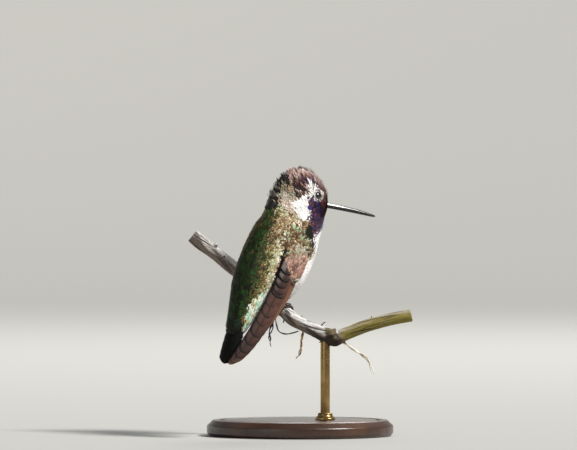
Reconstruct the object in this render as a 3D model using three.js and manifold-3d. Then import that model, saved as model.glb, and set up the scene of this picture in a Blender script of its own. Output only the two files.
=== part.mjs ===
// A perched male Costa's hummingbird at life size, on a cut length of branch held by a display stand.
// Millimetres, +Z up. The origin is the middle of the stand's underside; the bill points along +X.

import * as THREE from "three";
import { mergeVertices } from "three/addons/utils/BufferGeometryUtils.js";
import Module from "manifold-3d";

const wasm = await Module();
wasm.setup();

// ---- Driving dimensions ----

const SEAM = 0.3; // gap between neighbouring pieces
const GAPE_SEAM = 0.1; // gap between the halves of the bill

const BODY_YAW = 50; // degrees from +X to the way the breast faces
const HEAD_YAW = 20; // the head is turned back towards the bird's right
const HIP = new THREE.Vector3(-12.6, -10.9, 46.9); // middle of the lower trunk

const BILL_LENGTH = 17.1;
const BILL_DIP = 11.4;
const BILL_BASE_RADIUS = 0.86;
const BILL_TIP_RADIUS = 0.3;

const EYE_RADIUS = 1.55;

const WING_PRIMARIES = 6;
const WING_SECONDARIES = 4;
const WING_HALF_WIDTH = 4.3;
const WING_FEATHER_WIDTH = 3.7;
const LEFT_WING_DROOP = 1.5; // the left wing sits this much further round the flank
const FEATHER_THICKNESS = 0.62;

const TAIL_FEATHERS = 10;
const TAIL_FEATHER_WIDTH = 2.9;
const TAIL_FEATHER_THICKNESS = 0.82;
const TAIL_ROOT_HEIGHT = 38.5;
const TAIL_DROP = 14.8; // how far the folded tail hangs below its root

const TOE_RADIUS = 0.4;
const CLAW_RADIUS = 0.3;
const CLAW_TIP_RADIUS = 0.16;
const FOOT_PAD_RADIUS = 0.62;
const THIGH_RADIUS = 2.1;
const SHANK_RADIUS = 0.5;

const PERCH_LEFT = -34.5; // middle of the upper cut end
const PERCH_RIGHT = 35.5;
const PERCH_RADIUS_LEFT = 2.3;
const PERCH_RADIUS_RIGHT = 2.05;
const KNOB_PLACE = 0.635; // share of the way along the perch
const KNOB_RISE = 0.75;
const FIBRE_RADIUS = 0.3;

const BASE_RADIUS = 30;
const BASE_HEIGHT = 5;
const BASE_EDGE = 0.9;
const ROD_RADIUS = 1.5;
const ROD_X = 8;
const ROD_Y = -3.9;
const ROD_TOP = 36; // before the perch's own shape is cut from it
const FERRULE_RADIUS = 3.2;
const FERRULE_HEIGHT = 2.4;
const ROUND_SIDES = 20; // sides of the rod and its ferrule

// ---- Directions and places in the body's own frame ----

const UP = new THREE.Vector3(0, 0, 1);

function heading(yaw) {
  const angle = THREE.MathUtils.degToRad(yaw);
  return new THREE.Vector3(Math.cos(angle), Math.sin(angle), 0);
}

// The bird's right-hand side for a given heading.
function rightOf(yaw) {
  return heading(yaw - 90);
}

// A point given forward of the hip, to the bird's right of its middle plane, and above the floor.
function bodyPoint(forward, right, height) {
  const point = heading(BODY_YAW).multiplyScalar(forward);
  point.addScaledVector(rightOf(BODY_YAW), right);
  point.x += HIP.x;
  point.y += HIP.y;
  point.z = height;
  return point;
}

// ---- Solids: closed geometry in, one manifold solid out ----

function solid(geometry) {
  const bare = geometry.clone();
  bare.deleteAttribute("normal");
  bare.deleteAttribute("uv");
  const merged = mergeVertices(bare, 1e-4);
  const triVerts = new Uint32Array(merged.index.array);
  const vertProperties = new Float32Array(merged.attributes.position.array);
  const made = new wasm.Manifold(new wasm.Mesh({ numProp: 3, vertProperties, triVerts }));
  if (made.volume() > 0) return made;
  for (let i = 0; i < triVerts.length; i += 3) {
    [triVerts[i + 1], triVerts[i + 2]] = [triVerts[i + 2], triVerts[i + 1]];
  }
  return new wasm.Manifold(new wasm.Mesh({ numProp: 3, vertProperties, triVerts }));
}

function geometryOf(made) {
  const mesh = made.getMesh();
  const geometry = new THREE.BufferGeometry();
  geometry.setAttribute("position", new THREE.BufferAttribute(mesh.vertProperties, 3));
  geometry.setIndex(new THREE.BufferAttribute(mesh.triVerts, 1));
  return geometry;
}

// The biggest piece of a cut solid, without the slivers.
function largest(made) {
  const pieces = made.decompose();
  pieces.sort((a, b) => b.volume() - a.volume());
  return pieces[0];
}

function joined(solids) {
  return solids.reduce((whole, next) => whole.add(next));
}

// A ball drawn out along a route: section(t) gives the middle, the two directions and the reach in each.
function loft(around, along, section) {
  const ball = new THREE.SphereGeometry(1, around, along);
  const position = ball.getAttribute("position");
  for (let row = 0; row <= along; row++) {
    const { middle, front, side, reach } = section(row / along);
    for (let column = 0; column <= around; column++) {
      const angle = (column / around) * 2 * Math.PI;
      const forward = Math.cos(angle);
      const point = middle.clone();
      point.addScaledVector(front, forward * (forward > 0 ? reach.x : reach.y));
      point.addScaledVector(side, Math.sin(angle) * reach.z);
      position.setXYZ(row * (around + 1) + column, point.x, point.y, point.z);
    }
  }
  return solid(ball);
}

// How round an end is: 0 at both ends of the route, 1 between the two caps.
function roundEnds(t, startCap, endCap) {
  const start = Math.min(1, t / startCap);
  const end = Math.min(1, (1 - t) / endCap);
  return Math.sqrt(start * (2 - start)) * Math.sqrt(end * (2 - end));
}

// A round tube along a curve, its radius a function of t.
function tube(curve, radius, around, along, startCap = 0.06, endCap = 0.06) {
  return loft(around, along, (t) => {
    const tangent = curve.getTangent(t);
    const side = new THREE.Vector3().crossVectors(tangent, UP);
    if (side.lengthSq() < 1e-6) side.set(1, 0, 0);
    side.normalize();
    const front = new THREE.Vector3().crossVectors(side, tangent);
    const size = radius(t) * roundEnds(t, startCap, endCap);
    return { middle: curve.getPoint(t), front, side, reach: new THREE.Vector3(size, size, size) };
  });
}

// A thin slab across a section, for parting one body into two.
function cutSlab(middle, normal, thickness) {
  const slab = new THREE.BoxGeometry(80, 80, thickness);
  slab.applyQuaternion(new THREE.Quaternion().setFromUnitVectors(UP, normal));
  slab.translate(middle.x, middle.y, middle.z);
  return solid(slab);
}

// ---- Flesh and coat of the body: one loft from the crown to the root of the tail ----

// Each station: forward of the hip, height, reach to front, back and side, lean and heading in degrees.
const STATIONS = {
  crown: [20.4, 85.7, 3.2, 3.4, 2.6, 0, HEAD_YAW],
  upperCrown: [20.1, 84.1, 4.7, 5.0, 3.9, 0, HEAD_YAW],
  forehead: [19.8, 82.0, 6.7, 6.9, 5.3, 0, HEAD_YAW],
  brow: [19.5, 79.3, 8.6, 8.9, 6.1, 2, HEAD_YAW],
  cheek: [18.9, 75.3, 9.9, 10.0, 6.7, 7, 22],
  throat: [16.9, 71.3, 10.4, 10.1, 7.3, 17, 32],
  neckRoot: [14.9, 66.8, 10.9, 11.1, 8.7, 27, 44],
  breast: [11.5, 61.3, 12.2, 12.3, 9.8, 33, BODY_YAW],
  midTrunk: [7.4, 55.8, 12.2, 12.3, 10.0, 35, BODY_YAW],
  belly: [3.7, 51.0, 11.3, 12.0, 9.5, 35, BODY_YAW],
  lowerBelly: [0, 46.9, 9.0, 10.9, 8.6, 35, BODY_YAW],
  vent: [-4.5, 42.6, 6.3, 8.2, 6.7, 35, BODY_YAW],
  rump: [-8.7, 38.8, 4.2, 4.9, 4.9, 30, BODY_YAW],
  tailCoverts: [-11.6, 35.2, 2.7, 2.8, 4.0, 26, BODY_YAW],
  tailRoot: [-13.6, 31.4, 1.6, 1.4, 2.6, 20, BODY_YAW],
};

const stationNames = Object.keys(STATIONS);
const stationRows = Object.values(STATIONS);
const spine = new THREE.CatmullRomCurve3(
  stationRows.map(([forward, height]) => bodyPoint(forward, 0, height)), false, "catmullrom");
const reaches = new THREE.CatmullRomCurve3(
  stationRows.map((row) => new THREE.Vector3(row[2], row[3], row[4])), false, "catmullrom");
const attitudes = new THREE.CatmullRomCurve3(
  stationRows.map((row) => new THREE.Vector3(row[5], row[6], 0)), false, "catmullrom");

function stationAt(name) {
  return stationNames.indexOf(name) / (stationNames.length - 1);
}

function bodySection(t, grow = 0) {
  const attitude = attitudes.getPoint(t);
  const lean = THREE.MathUtils.degToRad(attitude.x);
  const front = heading(attitude.y).multiplyScalar(Math.cos(lean));
  front.z = -Math.sin(lean);
  const cap = roundEnds(t, 0.07, 0.07);
  const reach = reaches.getPoint(t).multiplyScalar(cap).addScalar(cap > 0 ? grow : 0);
  return { middle: spine.getPoint(t), front, side: rightOf(attitude.y), reach };
}

// The way down the spine at a section, square to its ring.
function sectionNormal(t) {
  const { front, side } = bodySection(t);
  return new THREE.Vector3().crossVectors(side, front).normalize();
}

function bodyForm(grow) {
  return loft(22, 35, (t) => bodySection(t, grow));
}

// ---- Bill ----

const billForward = heading(HEAD_YAW);
const billAxis = billForward.clone().multiplyScalar(Math.cos(THREE.MathUtils.degToRad(BILL_DIP)));
billAxis.z = -Math.sin(THREE.MathUtils.degToRad(BILL_DIP));
const billUp = new THREE.Vector3().crossVectors(rightOf(HEAD_YAW), billAxis).normalize();
const billBase = bodyPoint(18.6, 0, 73.65).addScaledVector(billForward, 9.9);

function billPoint(along, lift) {
  return billBase.clone().addScaledVector(billAxis, along).addScaledVector(billUp, lift);
}

const billCurve = new THREE.QuadraticBezierCurve3(
  billPoint(-3, -0.2), billPoint(BILL_LENGTH * 0.5, 0.4), billPoint(BILL_LENGTH, 0));

function billRadius(t) {
  return THREE.MathUtils.lerp(BILL_BASE_RADIUS, BILL_TIP_RADIUS, Math.pow(t, 0.8));
}

function wholeBill(grow) {
  return tube(billCurve, (t) => billRadius(t) + grow, 10, 12, 0.04, 0.03);
}

// One half of the bill: above or below the gape line, and clear of the face.
function mandible(side, face) {
  const half = new THREE.BoxGeometry(60, 60, 10);
  half.translate(0, 0, 5 + GAPE_SEAM / 2);
  half.applyQuaternion(new THREE.Quaternion().setFromUnitVectors(UP, billUp.clone().multiplyScalar(side)));
  const gape = billPoint(0, -0.12);
  half.translate(gape.x, gape.y, gape.z);
  return largest(wholeBill(0).intersect(solid(half)).subtract(face));
}

// ---- Eyes ----

function eyeMiddle(side) {
  const middle = bodyPoint(19.1, 0, 76.45).addScaledVector(heading(HEAD_YAW), 4.3);
  return middle.addScaledVector(rightOf(HEAD_YAW), side * 4.25);
}

function eyeball(side, grow) {
  const ball = new THREE.SphereGeometry(EYE_RADIUS + grow, 12, 8);
  const middle = eyeMiddle(side);
  ball.translate(middle.x, middle.y, middle.z);
  return solid(ball);
}

// ---- Feathers that make the outline: flight feathers, coverts and tail ----

// A vane from root to tip over a lifted middle; facing is the way its flat side looks.
function vane(root, belly, tip, facing, width, thickness) {
  const curve = new THREE.QuadraticBezierCurve3(root, belly, tip);
  return loft(6, 5, (t) => {
    const tangent = curve.getTangent(t);
    const side = new THREE.Vector3().crossVectors(tangent, facing).normalize();
    const front = new THREE.Vector3().crossVectors(side, tangent);
    const taper = Math.min(1, 0.5 + 1.6 * t);
    const half = (width / 2) * taper * roundEnds(t, 0.08, 0.26);
    const deep = (thickness / 2) * roundEnds(t, 0.05, 0.03);
    return { middle: curve.getPoint(t), front, side, reach: new THREE.Vector3(deep, deep, half) };
  });
}

// Knots of the folded wing from wrist to tip: forward of the hip, out from the middle plane, and height.
const WING_KNOTS = [
  [7.0, 10.3, 61.0],
  [4.6, 10.5, 56.0],
  [0.6, 9.9, 49.0],
  [-3.8, 8.3, 41.0],
  [-8.6, 6.4, 33.6],
  [-13.5, 4.3, 27.6],
  [-17.9, 1.9, 23.9],
];

const wingCurves = [-1, 1].map((side) => new THREE.CatmullRomCurve3(
  WING_KNOTS.map(([forward, out, height]) =>
    bodyPoint(forward + (side < 0 ? LEFT_WING_DROOP : 0), side * out, height))));

// The line of the folded wing; side is +1 on the bird's right.
function wingLine(side, t) {
  return wingCurves[side < 0 ? 0 : 1].getPointAt(t);
}

// The way the wing's outer face looks, turning from the flank towards the back.
function wingFacing(side, t) {
  const dorsal = THREE.MathUtils.lerp(18, 42, t);
  const angle = THREE.MathUtils.degToRad(dorsal);
  const facing = rightOf(BODY_YAW).multiplyScalar(side * Math.cos(angle));
  facing.addScaledVector(heading(BODY_YAW), -Math.sin(angle) * 0.82);
  facing.z = Math.sin(angle) * 0.57;
  return facing.normalize();
}

// A place on the folded wing: t along it, across from its upper edge (-1) to its leading edge (+1).
function wingPoint(side, t, across, lift) {
  const facing = wingFacing(side, t);
  const middle = wingLine(side, t);
  const ahead = wingLine(side, Math.min(1, t + 0.02)).sub(wingLine(side, Math.max(0, t - 0.02)));
  const edge = new THREE.Vector3().crossVectors(facing, ahead).normalize().multiplyScalar(side);
  const half = WING_HALF_WIDTH * Math.pow(1 - t, 0.28);
  return middle.addScaledVector(edge, across * half).addScaledVector(facing, lift);
}

function primaries(side) {
  const feathers = [];
  for (let i = 0; i < WING_PRIMARIES; i++) {
    const share = i / (WING_PRIMARIES - 1);
    const end = THREE.MathUtils.lerp(0.58, 1, Math.pow(share, 0.8));
    const across = THREE.MathUtils.lerp(-0.35, 0.62, share);
    const root = wingPoint(side, 0.12, across, 0.1 - 0.3 * share);
    const belly = wingPoint(side, (0.12 + end) / 2, across + 0.18, 0.15 - 0.3 * share);
    const tip = wingPoint(side, end, THREE.MathUtils.lerp(-0.85, 0.1, share), 0.1 - 0.3 * share);
    const facing = wingFacing(side, end / 2);
    feathers.push(vane(root, belly, tip, facing, WING_FEATHER_WIDTH, FEATHER_THICKNESS));
  }
  return feathers;
}

function secondaries(side) {
  const feathers = [];
  for (let i = 0; i < WING_SECONDARIES; i++) {
    const share = i / (WING_SECONDARIES - 1);
    const end = THREE.MathUtils.lerp(0.34, 0.62, share);
    const across = THREE.MathUtils.lerp(-0.62, -0.3, share);
    const root = wingPoint(side, 0.06, across * 0.8, 0.35);
    const belly = wingPoint(side, end / 2, across, 0.55);
    const tip = wingPoint(side, end, across - 0.1, 0.35);
    const facing = wingFacing(side, end / 2);
    feathers.push(vane(root, belly, tip, facing, WING_FEATHER_WIDTH, FEATHER_THICKNESS));
  }
  return feathers;
}

// The feathered arm of the wing: shoulder and coverts in one low pad on the flank.
function wingArm(side) {
  return loft(12, 10, (t) => {
    const down = THREE.MathUtils.lerp(-0.03, 0.3, t);
    const middle = wingPoint(side, Math.max(0, down), -0.05, 0.2);
    const facing = wingFacing(side, 0.1);
    const ahead = wingLine(side, 0.3).sub(wingLine(side, 0)).normalize();
    const edge = new THREE.Vector3().crossVectors(facing, ahead).normalize();
    const reach = new THREE.Vector3(1.15, 1.6, 4.4).multiplyScalar(roundEnds(t, 0.35, 0.25));
    return { middle, front: facing, side: edge, reach };
  });
}

// The folded tail; grow widens and thickens each feather, to cut clearance from a neighbour.
function tailFeathers(grow) {
  const feathers = [];
  const middleOfTail = (TAIL_FEATHERS - 1) / 2;
  for (let i = 0; i < TAIL_FEATHERS; i++) {
    const offset = (i - middleOfTail) / middleOfTail;
    const depth = 0.55 * Math.abs(offset);
    const root = bodyPoint(-10.6 + depth, offset * 1.5, TAIL_ROOT_HEIGHT);
    const belly = bodyPoint(-14.4 + depth, offset * 3.0, 30.5);
    const drop = TAIL_DROP * (1 - 0.09 * offset * offset);
    const tip = bodyPoint(-16.9 + depth * 1.6, offset * 2.7, TAIL_ROOT_HEIGHT - drop);
    const facing = heading(BODY_YAW).multiplyScalar(-0.95);
    facing.z = 0.3;
    facing.addScaledVector(rightOf(BODY_YAW), offset * 0.35);
    const width = TAIL_FEATHER_WIDTH + 2 * grow;
    feathers.push(vane(root, belly, tip, facing.normalize(), width, TAIL_FEATHER_THICKNESS + 2 * grow));
  }
  return feathers;
}

// ---- Perch ----

// Knot points of the branch from its upper cut end to its far cut end.
const perchCurve = new THREE.CatmullRomCurve3([
  new THREE.Vector3(PERCH_LEFT, 9.2, 63.8),
  new THREE.Vector3(-28, 9.2, 58.6),
  new THREE.Vector3(-20.6, 8.6, 52.8),
  new THREE.Vector3(-12.8, 6.2, 46.2),
  new THREE.Vector3(-5.4, 0.9, 39.9),
  new THREE.Vector3(-1.8, -1.3, 36.9),
  new THREE.Vector3(3.4, -2.9, 34.3),
  new THREE.Vector3(10.6, -4.4, 31.5),
  new THREE.Vector3(14.4, -4.8, 32.5),
  new THREE.Vector3(20.0, -5.0, 34.8),
  new THREE.Vector3(27.5, -5.2, 36.9),
  new THREE.Vector3(PERCH_RIGHT, -5.2, 38.5),
]);

function perchRadius(t, grow) {
  const knob = Math.exp(-Math.pow((t - KNOB_PLACE) / 0.045, 2));
  const taper = THREE.MathUtils.lerp(PERCH_RADIUS_LEFT, PERCH_RADIUS_RIGHT, t);
  return taper + KNOB_RISE * knob + 0.12 * Math.sin(t * 47) * (1 - t) + grow;
}

// Flat-ended tube: a cylinder laid along the branch.
function perchForm(grow) {
  const around = 12;
  const along = 32;
  const log = new THREE.CylinderGeometry(1, 1, 1, around, along);
  const position = log.getAttribute("position");
  for (let i = 0; i < position.count; i++) {
    const t = THREE.MathUtils.clamp(0.5 - position.getY(i), 0, 1);
    const tangent = perchCurve.getTangent(t);
    const side = new THREE.Vector3().crossVectors(tangent, UP).normalize();
    const front = new THREE.Vector3().crossVectors(side, tangent);
    const point = perchCurve.getPoint(t);
    point.addScaledVector(side, position.getX(i) * perchRadius(t, grow));
    point.addScaledVector(front, position.getZ(i) * perchRadius(t, grow));
    position.setXYZ(i, point.x, point.y, point.z);
  }
  return solid(log);
}

// The perch's own frame at a place t: middle, along, up and the way a toe reaches forward.
function perchFrame(t) {
  const along = perchCurve.getTangent(t);
  const ahead = heading(BODY_YAW);
  ahead.addScaledVector(along, -ahead.dot(along)).normalize();
  const up = new THREE.Vector3().crossVectors(along, ahead);
  if (up.z < 0) up.negate();
  return { middle: perchCurve.getPoint(t), along, ahead, up };
}

// ---- Legs, toes and claws ----

const FOOT_PLACES = { right: 0.372, left: 0.338 };
const TOES = { inner: [-1.05, 1], middle: [0, 1], outer: [1.05, 1], hind: [0, -1] };
const TOE_END = 78; // degrees round from the top of the perch
const CLAW_END = 122;

// A point round the perch: angle in degrees from its top, forwards if way is 1.
function gripPoint(frame, t, shift, way, angle, stand) {
  const turn = THREE.MathUtils.degToRad(angle);
  const out = perchRadius(t, SEAM + stand);
  const point = frame.middle.clone().addScaledVector(frame.along, shift);
  point.addScaledVector(frame.up, Math.cos(turn) * out);
  return point.addScaledVector(frame.ahead, way * Math.sin(turn) * out);
}

function gripCurve(t, [shift, way], from, to, stand) {
  const frame = perchFrame(t);
  const points = [];
  const steps = 6;
  for (let i = 0; i <= steps; i++) {
    const share = i / steps;
    const angle = THREE.MathUtils.lerp(from, to, share);
    const splay = shift * (0.45 + 0.75 * (angle / CLAW_END));
    const lift = stand + 0.18 * Math.sin(share * Math.PI * 3) ** 2;
    points.push(gripPoint(frame, t, splay, way, angle, lift));
  }
  return new THREE.CatmullRomCurve3(points);
}

function ankle(side) {
  const t = FOOT_PLACES[side];
  return gripPoint(perchFrame(t), t, 0, 1, -4, TOE_RADIUS + 0.35);
}

function foot(side) {
  const t = FOOT_PLACES[side];
  const toes = Object.values(TOES).map((toe) =>
    tube(gripCurve(t, toe, 0, TOE_END, TOE_RADIUS), () => TOE_RADIUS, 5, 5, 0.1, 0.1));
  const pad = new THREE.SphereGeometry(FOOT_PAD_RADIUS, 8, 6);
  const middle = ankle(side);
  pad.translate(middle.x, middle.y, middle.z);
  return joined([...toes, solid(pad)]);
}

function claw(side, toe) {
  const t = FOOT_PLACES[side];
  const curve = gripCurve(t, TOES[toe], TOE_END + 8, CLAW_END, CLAW_RADIUS);
  return tube(curve, (s) => THREE.MathUtils.lerp(CLAW_RADIUS, CLAW_TIP_RADIUS, s), 5, 5, 0.08, 0.08);
}

// The shank and the feathered thigh above it, from inside the belly down to the foot.
function legForm(side, grow) {
  const hip = bodyPoint(5.2, side === "right" ? 3.0 : -1.6, 45.2);
  const end = ankle(side);
  end.z += FOOT_PAD_RADIUS + SEAM;
  const curve = new THREE.LineCurve3(hip, end);
  const slimming = (t) => THREE.MathUtils.smoothstep(t, 0.1, 0.8);
  const radius = (t) => THREE.MathUtils.lerp(THIGH_RADIUS, SHANK_RADIUS, slimming(t)) + grow;
  return tube(curve, radius, 10, 8, 0.2, 0.04);
}

// ---- Bark fibres hanging from the perch ----

// Each fibre's knot points, from inside the perch's underside to its free end.
const FIBRES = {
  fibre_long: [[12.6, -4.6, 30.6], [17.6, -4.4, 27.2], [21.4, -4.2, 24.4], [23.4, -4.1, 19.6]],
  fibre_peg: [[1.0, -2.6, 33.4], [0.4, -2.4, 30.2], [0.2, -2.2, 27.4], [-1.1, -2.0, 24.3]],
  fibre_twig: [[-0.4, -2.0, 33.4], [-4.0, -1.4, 32.4], [-6.5, -1.0, 33.2], [-7.6, -0.2, 35.4],
    [-8.3, 0.6, 38.6]],
  fibre_strip: [[-8.2, 2.8, 40.2], [-9.0, 1.6, 35.2], [-9.6, 0.9, 31.4], [-9.4, 0.6, 28.2]],
};

function fibre(points) {
  const curve = new THREE.CatmullRomCurve3(points.map((p) => new THREE.Vector3(...p)));
  return tube(curve, (t) => FIBRE_RADIUS * THREE.MathUtils.lerp(1.25, 0.9, t), 5, 10);
}

// ---- Stand ----

function standBase() {
  const r = BASE_RADIUS;
  const h = BASE_HEIGHT;
  const e = BASE_EDGE;
  const profile = [
    new THREE.Vector2(0, 0),
    new THREE.Vector2(r - e / 2, 0),
    new THREE.Vector2(r, e / 2),
    new THREE.Vector2(r, h - e),
    new THREE.Vector2(r - e, h),
    new THREE.Vector2(0, h),
  ];
  return new THREE.LatheGeometry(profile, 44).rotateX(Math.PI / 2);
}

// A round bar standing where the rod stands.
function upright(radius, bottom, top) {
  const bar = new THREE.CylinderGeometry(radius, radius, top - bottom, ROUND_SIDES);
  bar.rotateX(Math.PI / 2);
  bar.translate(ROD_X, ROD_Y, (top + bottom) / 2);
  return solid(bar);
}

function ring(inner, outer, bottom, top) {
  return upright(outer, bottom, top).subtract(upright(inner, bottom - 1, top + 1));
}

// ---- Materials ----

function finish(color, roughness, metalness = 0) {
  return new THREE.MeshStandardMaterial({ color, roughness, metalness });
}

const finishes = {
  crown: finish(0x5a3436, 0.6),
  neckFeather: finish(0xb9ac90, 0.8),
  back: finish(0x4f5a2c, 0.6),
  tail: finish(0x14160f, 0.6),
  covert: finish(0x6d6a44, 0.6),
  flight: finish(0x5c3f37, 0.6),
  horn: finish(0x0c0b0c, 0.2),
  eye: finish(0x050404, 0.05),
  scale: finish(0x1c1716, 0.6),
  thigh: finish(0xd8d2c8, 0.9),
  bark: finish(0x8e8678, 0.9),
  bast: finish(0xc4bba8, 0.9),
  base: finish(0x33221a, 0.45),
  brass: finish(0x8d7f62, 0.3, 1),
};

// ---- The object ----

const hummingbird = new THREE.Group();

function place(name, made, material) {
  const geometry = made.isBufferGeometry ? made : geometryOf(made);
  const mesh = new THREE.Mesh(geometry, material);
  mesh.name = name;
  hummingbird.add(mesh);
}

const formGrown = bodyForm(SEAM);
const perchGrown = perchForm(SEAM);

// The body with its tail is one form, parted by thin cuts across it, each just below the station named.
const CUTS = { head: ["throat", 0.004], neck: ["neckRoot", 0.012], trunk: ["tailCoverts", 0] };
const parts = {};
let rest = bodyForm(0).add(joined(tailFeathers(0)));
for (const [name, [station, below]] of Object.entries(CUTS)) {
  const t = stationAt(station) + below;
  const pieces = rest.subtract(cutSlab(spine.getPoint(t), sectionNormal(t), SEAM)).decompose();
  pieces.sort((a, b) => b.boundingBox().max[2] - a.boundingBox().max[2]);
  parts[name] = pieces[0];
  rest = largest(joined(pieces.slice(1)));
}
parts.tail = rest;

const sockets = eyeball(1, SEAM / 2).add(eyeball(-1, SEAM / 2)).add(wholeBill(SEAM / 2));
parts.head = largest(parts.head.subtract(sockets));
parts.trunk = largest(parts.trunk.subtract(legForm("right", SEAM)).subtract(legForm("left", SEAM)));

place("head", parts.head, finishes.crown);
place("neck", parts.neck, finishes.neckFeather);
place("trunk", parts.trunk, finishes.back);
place("tail", parts.tail, finishes.tail);

const face = formGrown.subtract(wholeBill(SEAM / 2));
place("bill_upper", mandible(1, face), finishes.horn);
place("bill_lower", mandible(-1, face), finishes.horn);

const tailGrown = joined(tailFeathers(SEAM));
for (const [name, side] of [["right", 1], ["left", -1]]) {
  place("eye_" + name, eyeball(side, 0), finishes.eye);
  const wing = joined([wingArm(side), ...primaries(side), ...secondaries(side)]);
  const clear = largest(wing.subtract(formGrown).subtract(tailGrown));
  const parting = wingLine(side, 0.27);
  const down = wingLine(side, 0.3).sub(wingLine(side, 0.24)).normalize();
  const halves = clear.subtract(cutSlab(parting, down, SEAM)).decompose();
  halves.sort((a, b) => b.volume() - a.volume());
  const [arm, flight] = halves.slice(0, 2).sort((a, b) => b.boundingBox().max[2] - a.boundingBox().max[2]);
  place("wing_" + name + "_arm", arm, finishes.covert);
  place("wing_" + name + "_flight", flight, finishes.flight);
  place("leg_" + name, largest(legForm(name, 0)), finishes.thigh);
  place("foot_" + name, foot(name), finishes.scale);
  for (const toe of Object.keys(TOES)) place("claw_" + name + "_" + toe, claw(name, toe), finishes.horn);
}

place("perch_branch", perchForm(0), finishes.bark);
for (const [name, points] of Object.entries(FIBRES)) {
  place(name, largest(fibre(points).subtract(perchGrown)), finishes.bast);
}

const rod = upright(ROD_RADIUS, BASE_HEIGHT + SEAM, ROD_TOP).subtract(perchGrown);
const ferruleTop = BASE_HEIGHT + FERRULE_HEIGHT;
const ferrule = ring(ROD_RADIUS + SEAM / 2, FERRULE_RADIUS, BASE_HEIGHT + SEAM / 2, ferruleTop);
place("stand_base", standBase(), finishes.base);
place("stand_rod", largest(rod), finishes.brass);
place("stand_ferrule", ferrule, finishes.brass);

export default hummingbird;
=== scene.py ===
# A life-size museum model of a perched male Costa's hummingbird: skin, coat, flight feathers, bill, eyes,
# feet, perch and display stand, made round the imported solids. Metres, +Z up; mm is one millimetre.

import math

import bpy
import numpy as np
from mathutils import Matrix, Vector
from mathutils.bvhtree import BVHTree
from mathutils.kdtree import KDTree


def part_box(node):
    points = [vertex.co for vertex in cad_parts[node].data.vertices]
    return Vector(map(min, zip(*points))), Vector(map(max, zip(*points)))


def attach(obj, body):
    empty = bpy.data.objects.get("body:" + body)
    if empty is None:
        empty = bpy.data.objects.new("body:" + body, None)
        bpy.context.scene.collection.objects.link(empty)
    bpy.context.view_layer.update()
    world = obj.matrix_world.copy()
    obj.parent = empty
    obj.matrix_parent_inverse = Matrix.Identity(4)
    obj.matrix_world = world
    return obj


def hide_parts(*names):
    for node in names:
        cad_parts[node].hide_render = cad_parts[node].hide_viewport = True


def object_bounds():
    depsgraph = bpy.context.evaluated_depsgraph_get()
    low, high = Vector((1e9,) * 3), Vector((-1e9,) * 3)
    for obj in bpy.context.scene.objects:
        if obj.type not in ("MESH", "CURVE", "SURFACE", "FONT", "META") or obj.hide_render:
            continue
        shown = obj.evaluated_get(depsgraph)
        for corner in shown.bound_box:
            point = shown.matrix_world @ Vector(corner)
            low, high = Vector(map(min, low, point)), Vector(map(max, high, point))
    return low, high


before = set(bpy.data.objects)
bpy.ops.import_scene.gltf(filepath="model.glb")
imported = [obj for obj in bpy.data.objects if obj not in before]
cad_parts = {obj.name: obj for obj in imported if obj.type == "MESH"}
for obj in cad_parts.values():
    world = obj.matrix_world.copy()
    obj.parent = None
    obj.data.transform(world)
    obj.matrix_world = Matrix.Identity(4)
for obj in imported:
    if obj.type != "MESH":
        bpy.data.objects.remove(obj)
cad_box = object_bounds()
mm = 0.001


# ---- Studio ----
# A round grey floor whose rim sweeps up into a low wall, an even sky, one distant softened lamp high on
# the bill's side and two weak ones that open the shadows. The camera is level with the bird, on a long lens.

def shade(name, **constants):
    """A new material and its shader, whose constant inputs are named with _ for a space."""
    material = bpy.data.materials.new(name)
    material.use_nodes = True
    surface = material.node_tree.nodes["Principled BSDF"]
    for key, value in constants.items():
        surface.inputs[key.replace("_", " ")].default_value = value
    return material, surface


def turned(name, rings, sides):
    """A turned piece: a disc whose rim is drawn out through rings of (radius, height). It is left open for
    editing, with its last rim selected."""
    bpy.ops.object.select_all(action="DESELECT")
    first_radius, first_height = rings[0]
    bpy.ops.mesh.primitive_circle_add(vertices=sides, radius=first_radius, fill_type="NGON",
                                      location=(0, 0, first_height))
    piece = bpy.context.object
    piece.name = name
    bpy.ops.object.transform_apply(location=True, rotation=True, scale=True)
    bpy.ops.object.mode_set(mode="EDIT")
    bpy.ops.mesh.select_mode(type="EDGE")
    bpy.ops.mesh.select_all(action="DESELECT")
    bpy.ops.mesh.select_non_manifold()
    for (last_radius, last_height), (radius, height) in zip(rings, rings[1:]):
        bpy.ops.mesh.extrude_edges_move()
        scale = radius / last_radius
        bpy.ops.transform.resize(value=(scale, scale, 1), center_override=(0, 0, 0))
        bpy.ops.transform.translate(value=(0, 0, height - last_height))
    return piece


FLOOR_FLAT = 2.3  # radius at which the flat floor ends, in metres
FLOOR_RIM = 4.6
RIM_RISE = 1.2
floor_z = cad_box[0].z - 0.1 * mm
sweep = [math.radians(angle) for angle in range(0, 91, 6)]
floor = turned("studio_floor", [(FLOOR_FLAT + (FLOOR_RIM - FLOOR_FLAT) * math.sin(angle),
                                 floor_z + RIM_RISE * (1 - math.cos(angle))) for angle in sweep], 96)
bpy.ops.mesh.select_all(action="SELECT")
bpy.ops.mesh.flip_normals()
bpy.ops.object.mode_set(mode="OBJECT")
bpy.ops.object.shade_smooth()
floor.data.materials.append(shade("studio_floor", Base_Color=(0.42, 0.42, 0.41, 1), Roughness=0.9)[0])

world = bpy.data.worlds.new("studio_sky")
bpy.context.scene.world = world
world.use_nodes = True
sky = world.node_tree.nodes["Background"]
sky.inputs["Color"].default_value = (0.84, 0.90, 0.93, 1)
sky.inputs["Strength"].default_value = 0.20
bpy.context.scene.view_settings.view_transform = "Standard"

LAMP_DISTANCE = 1.5
bird_middle = Vector((-5 * mm, -5 * mm, 58 * mm))


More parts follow.
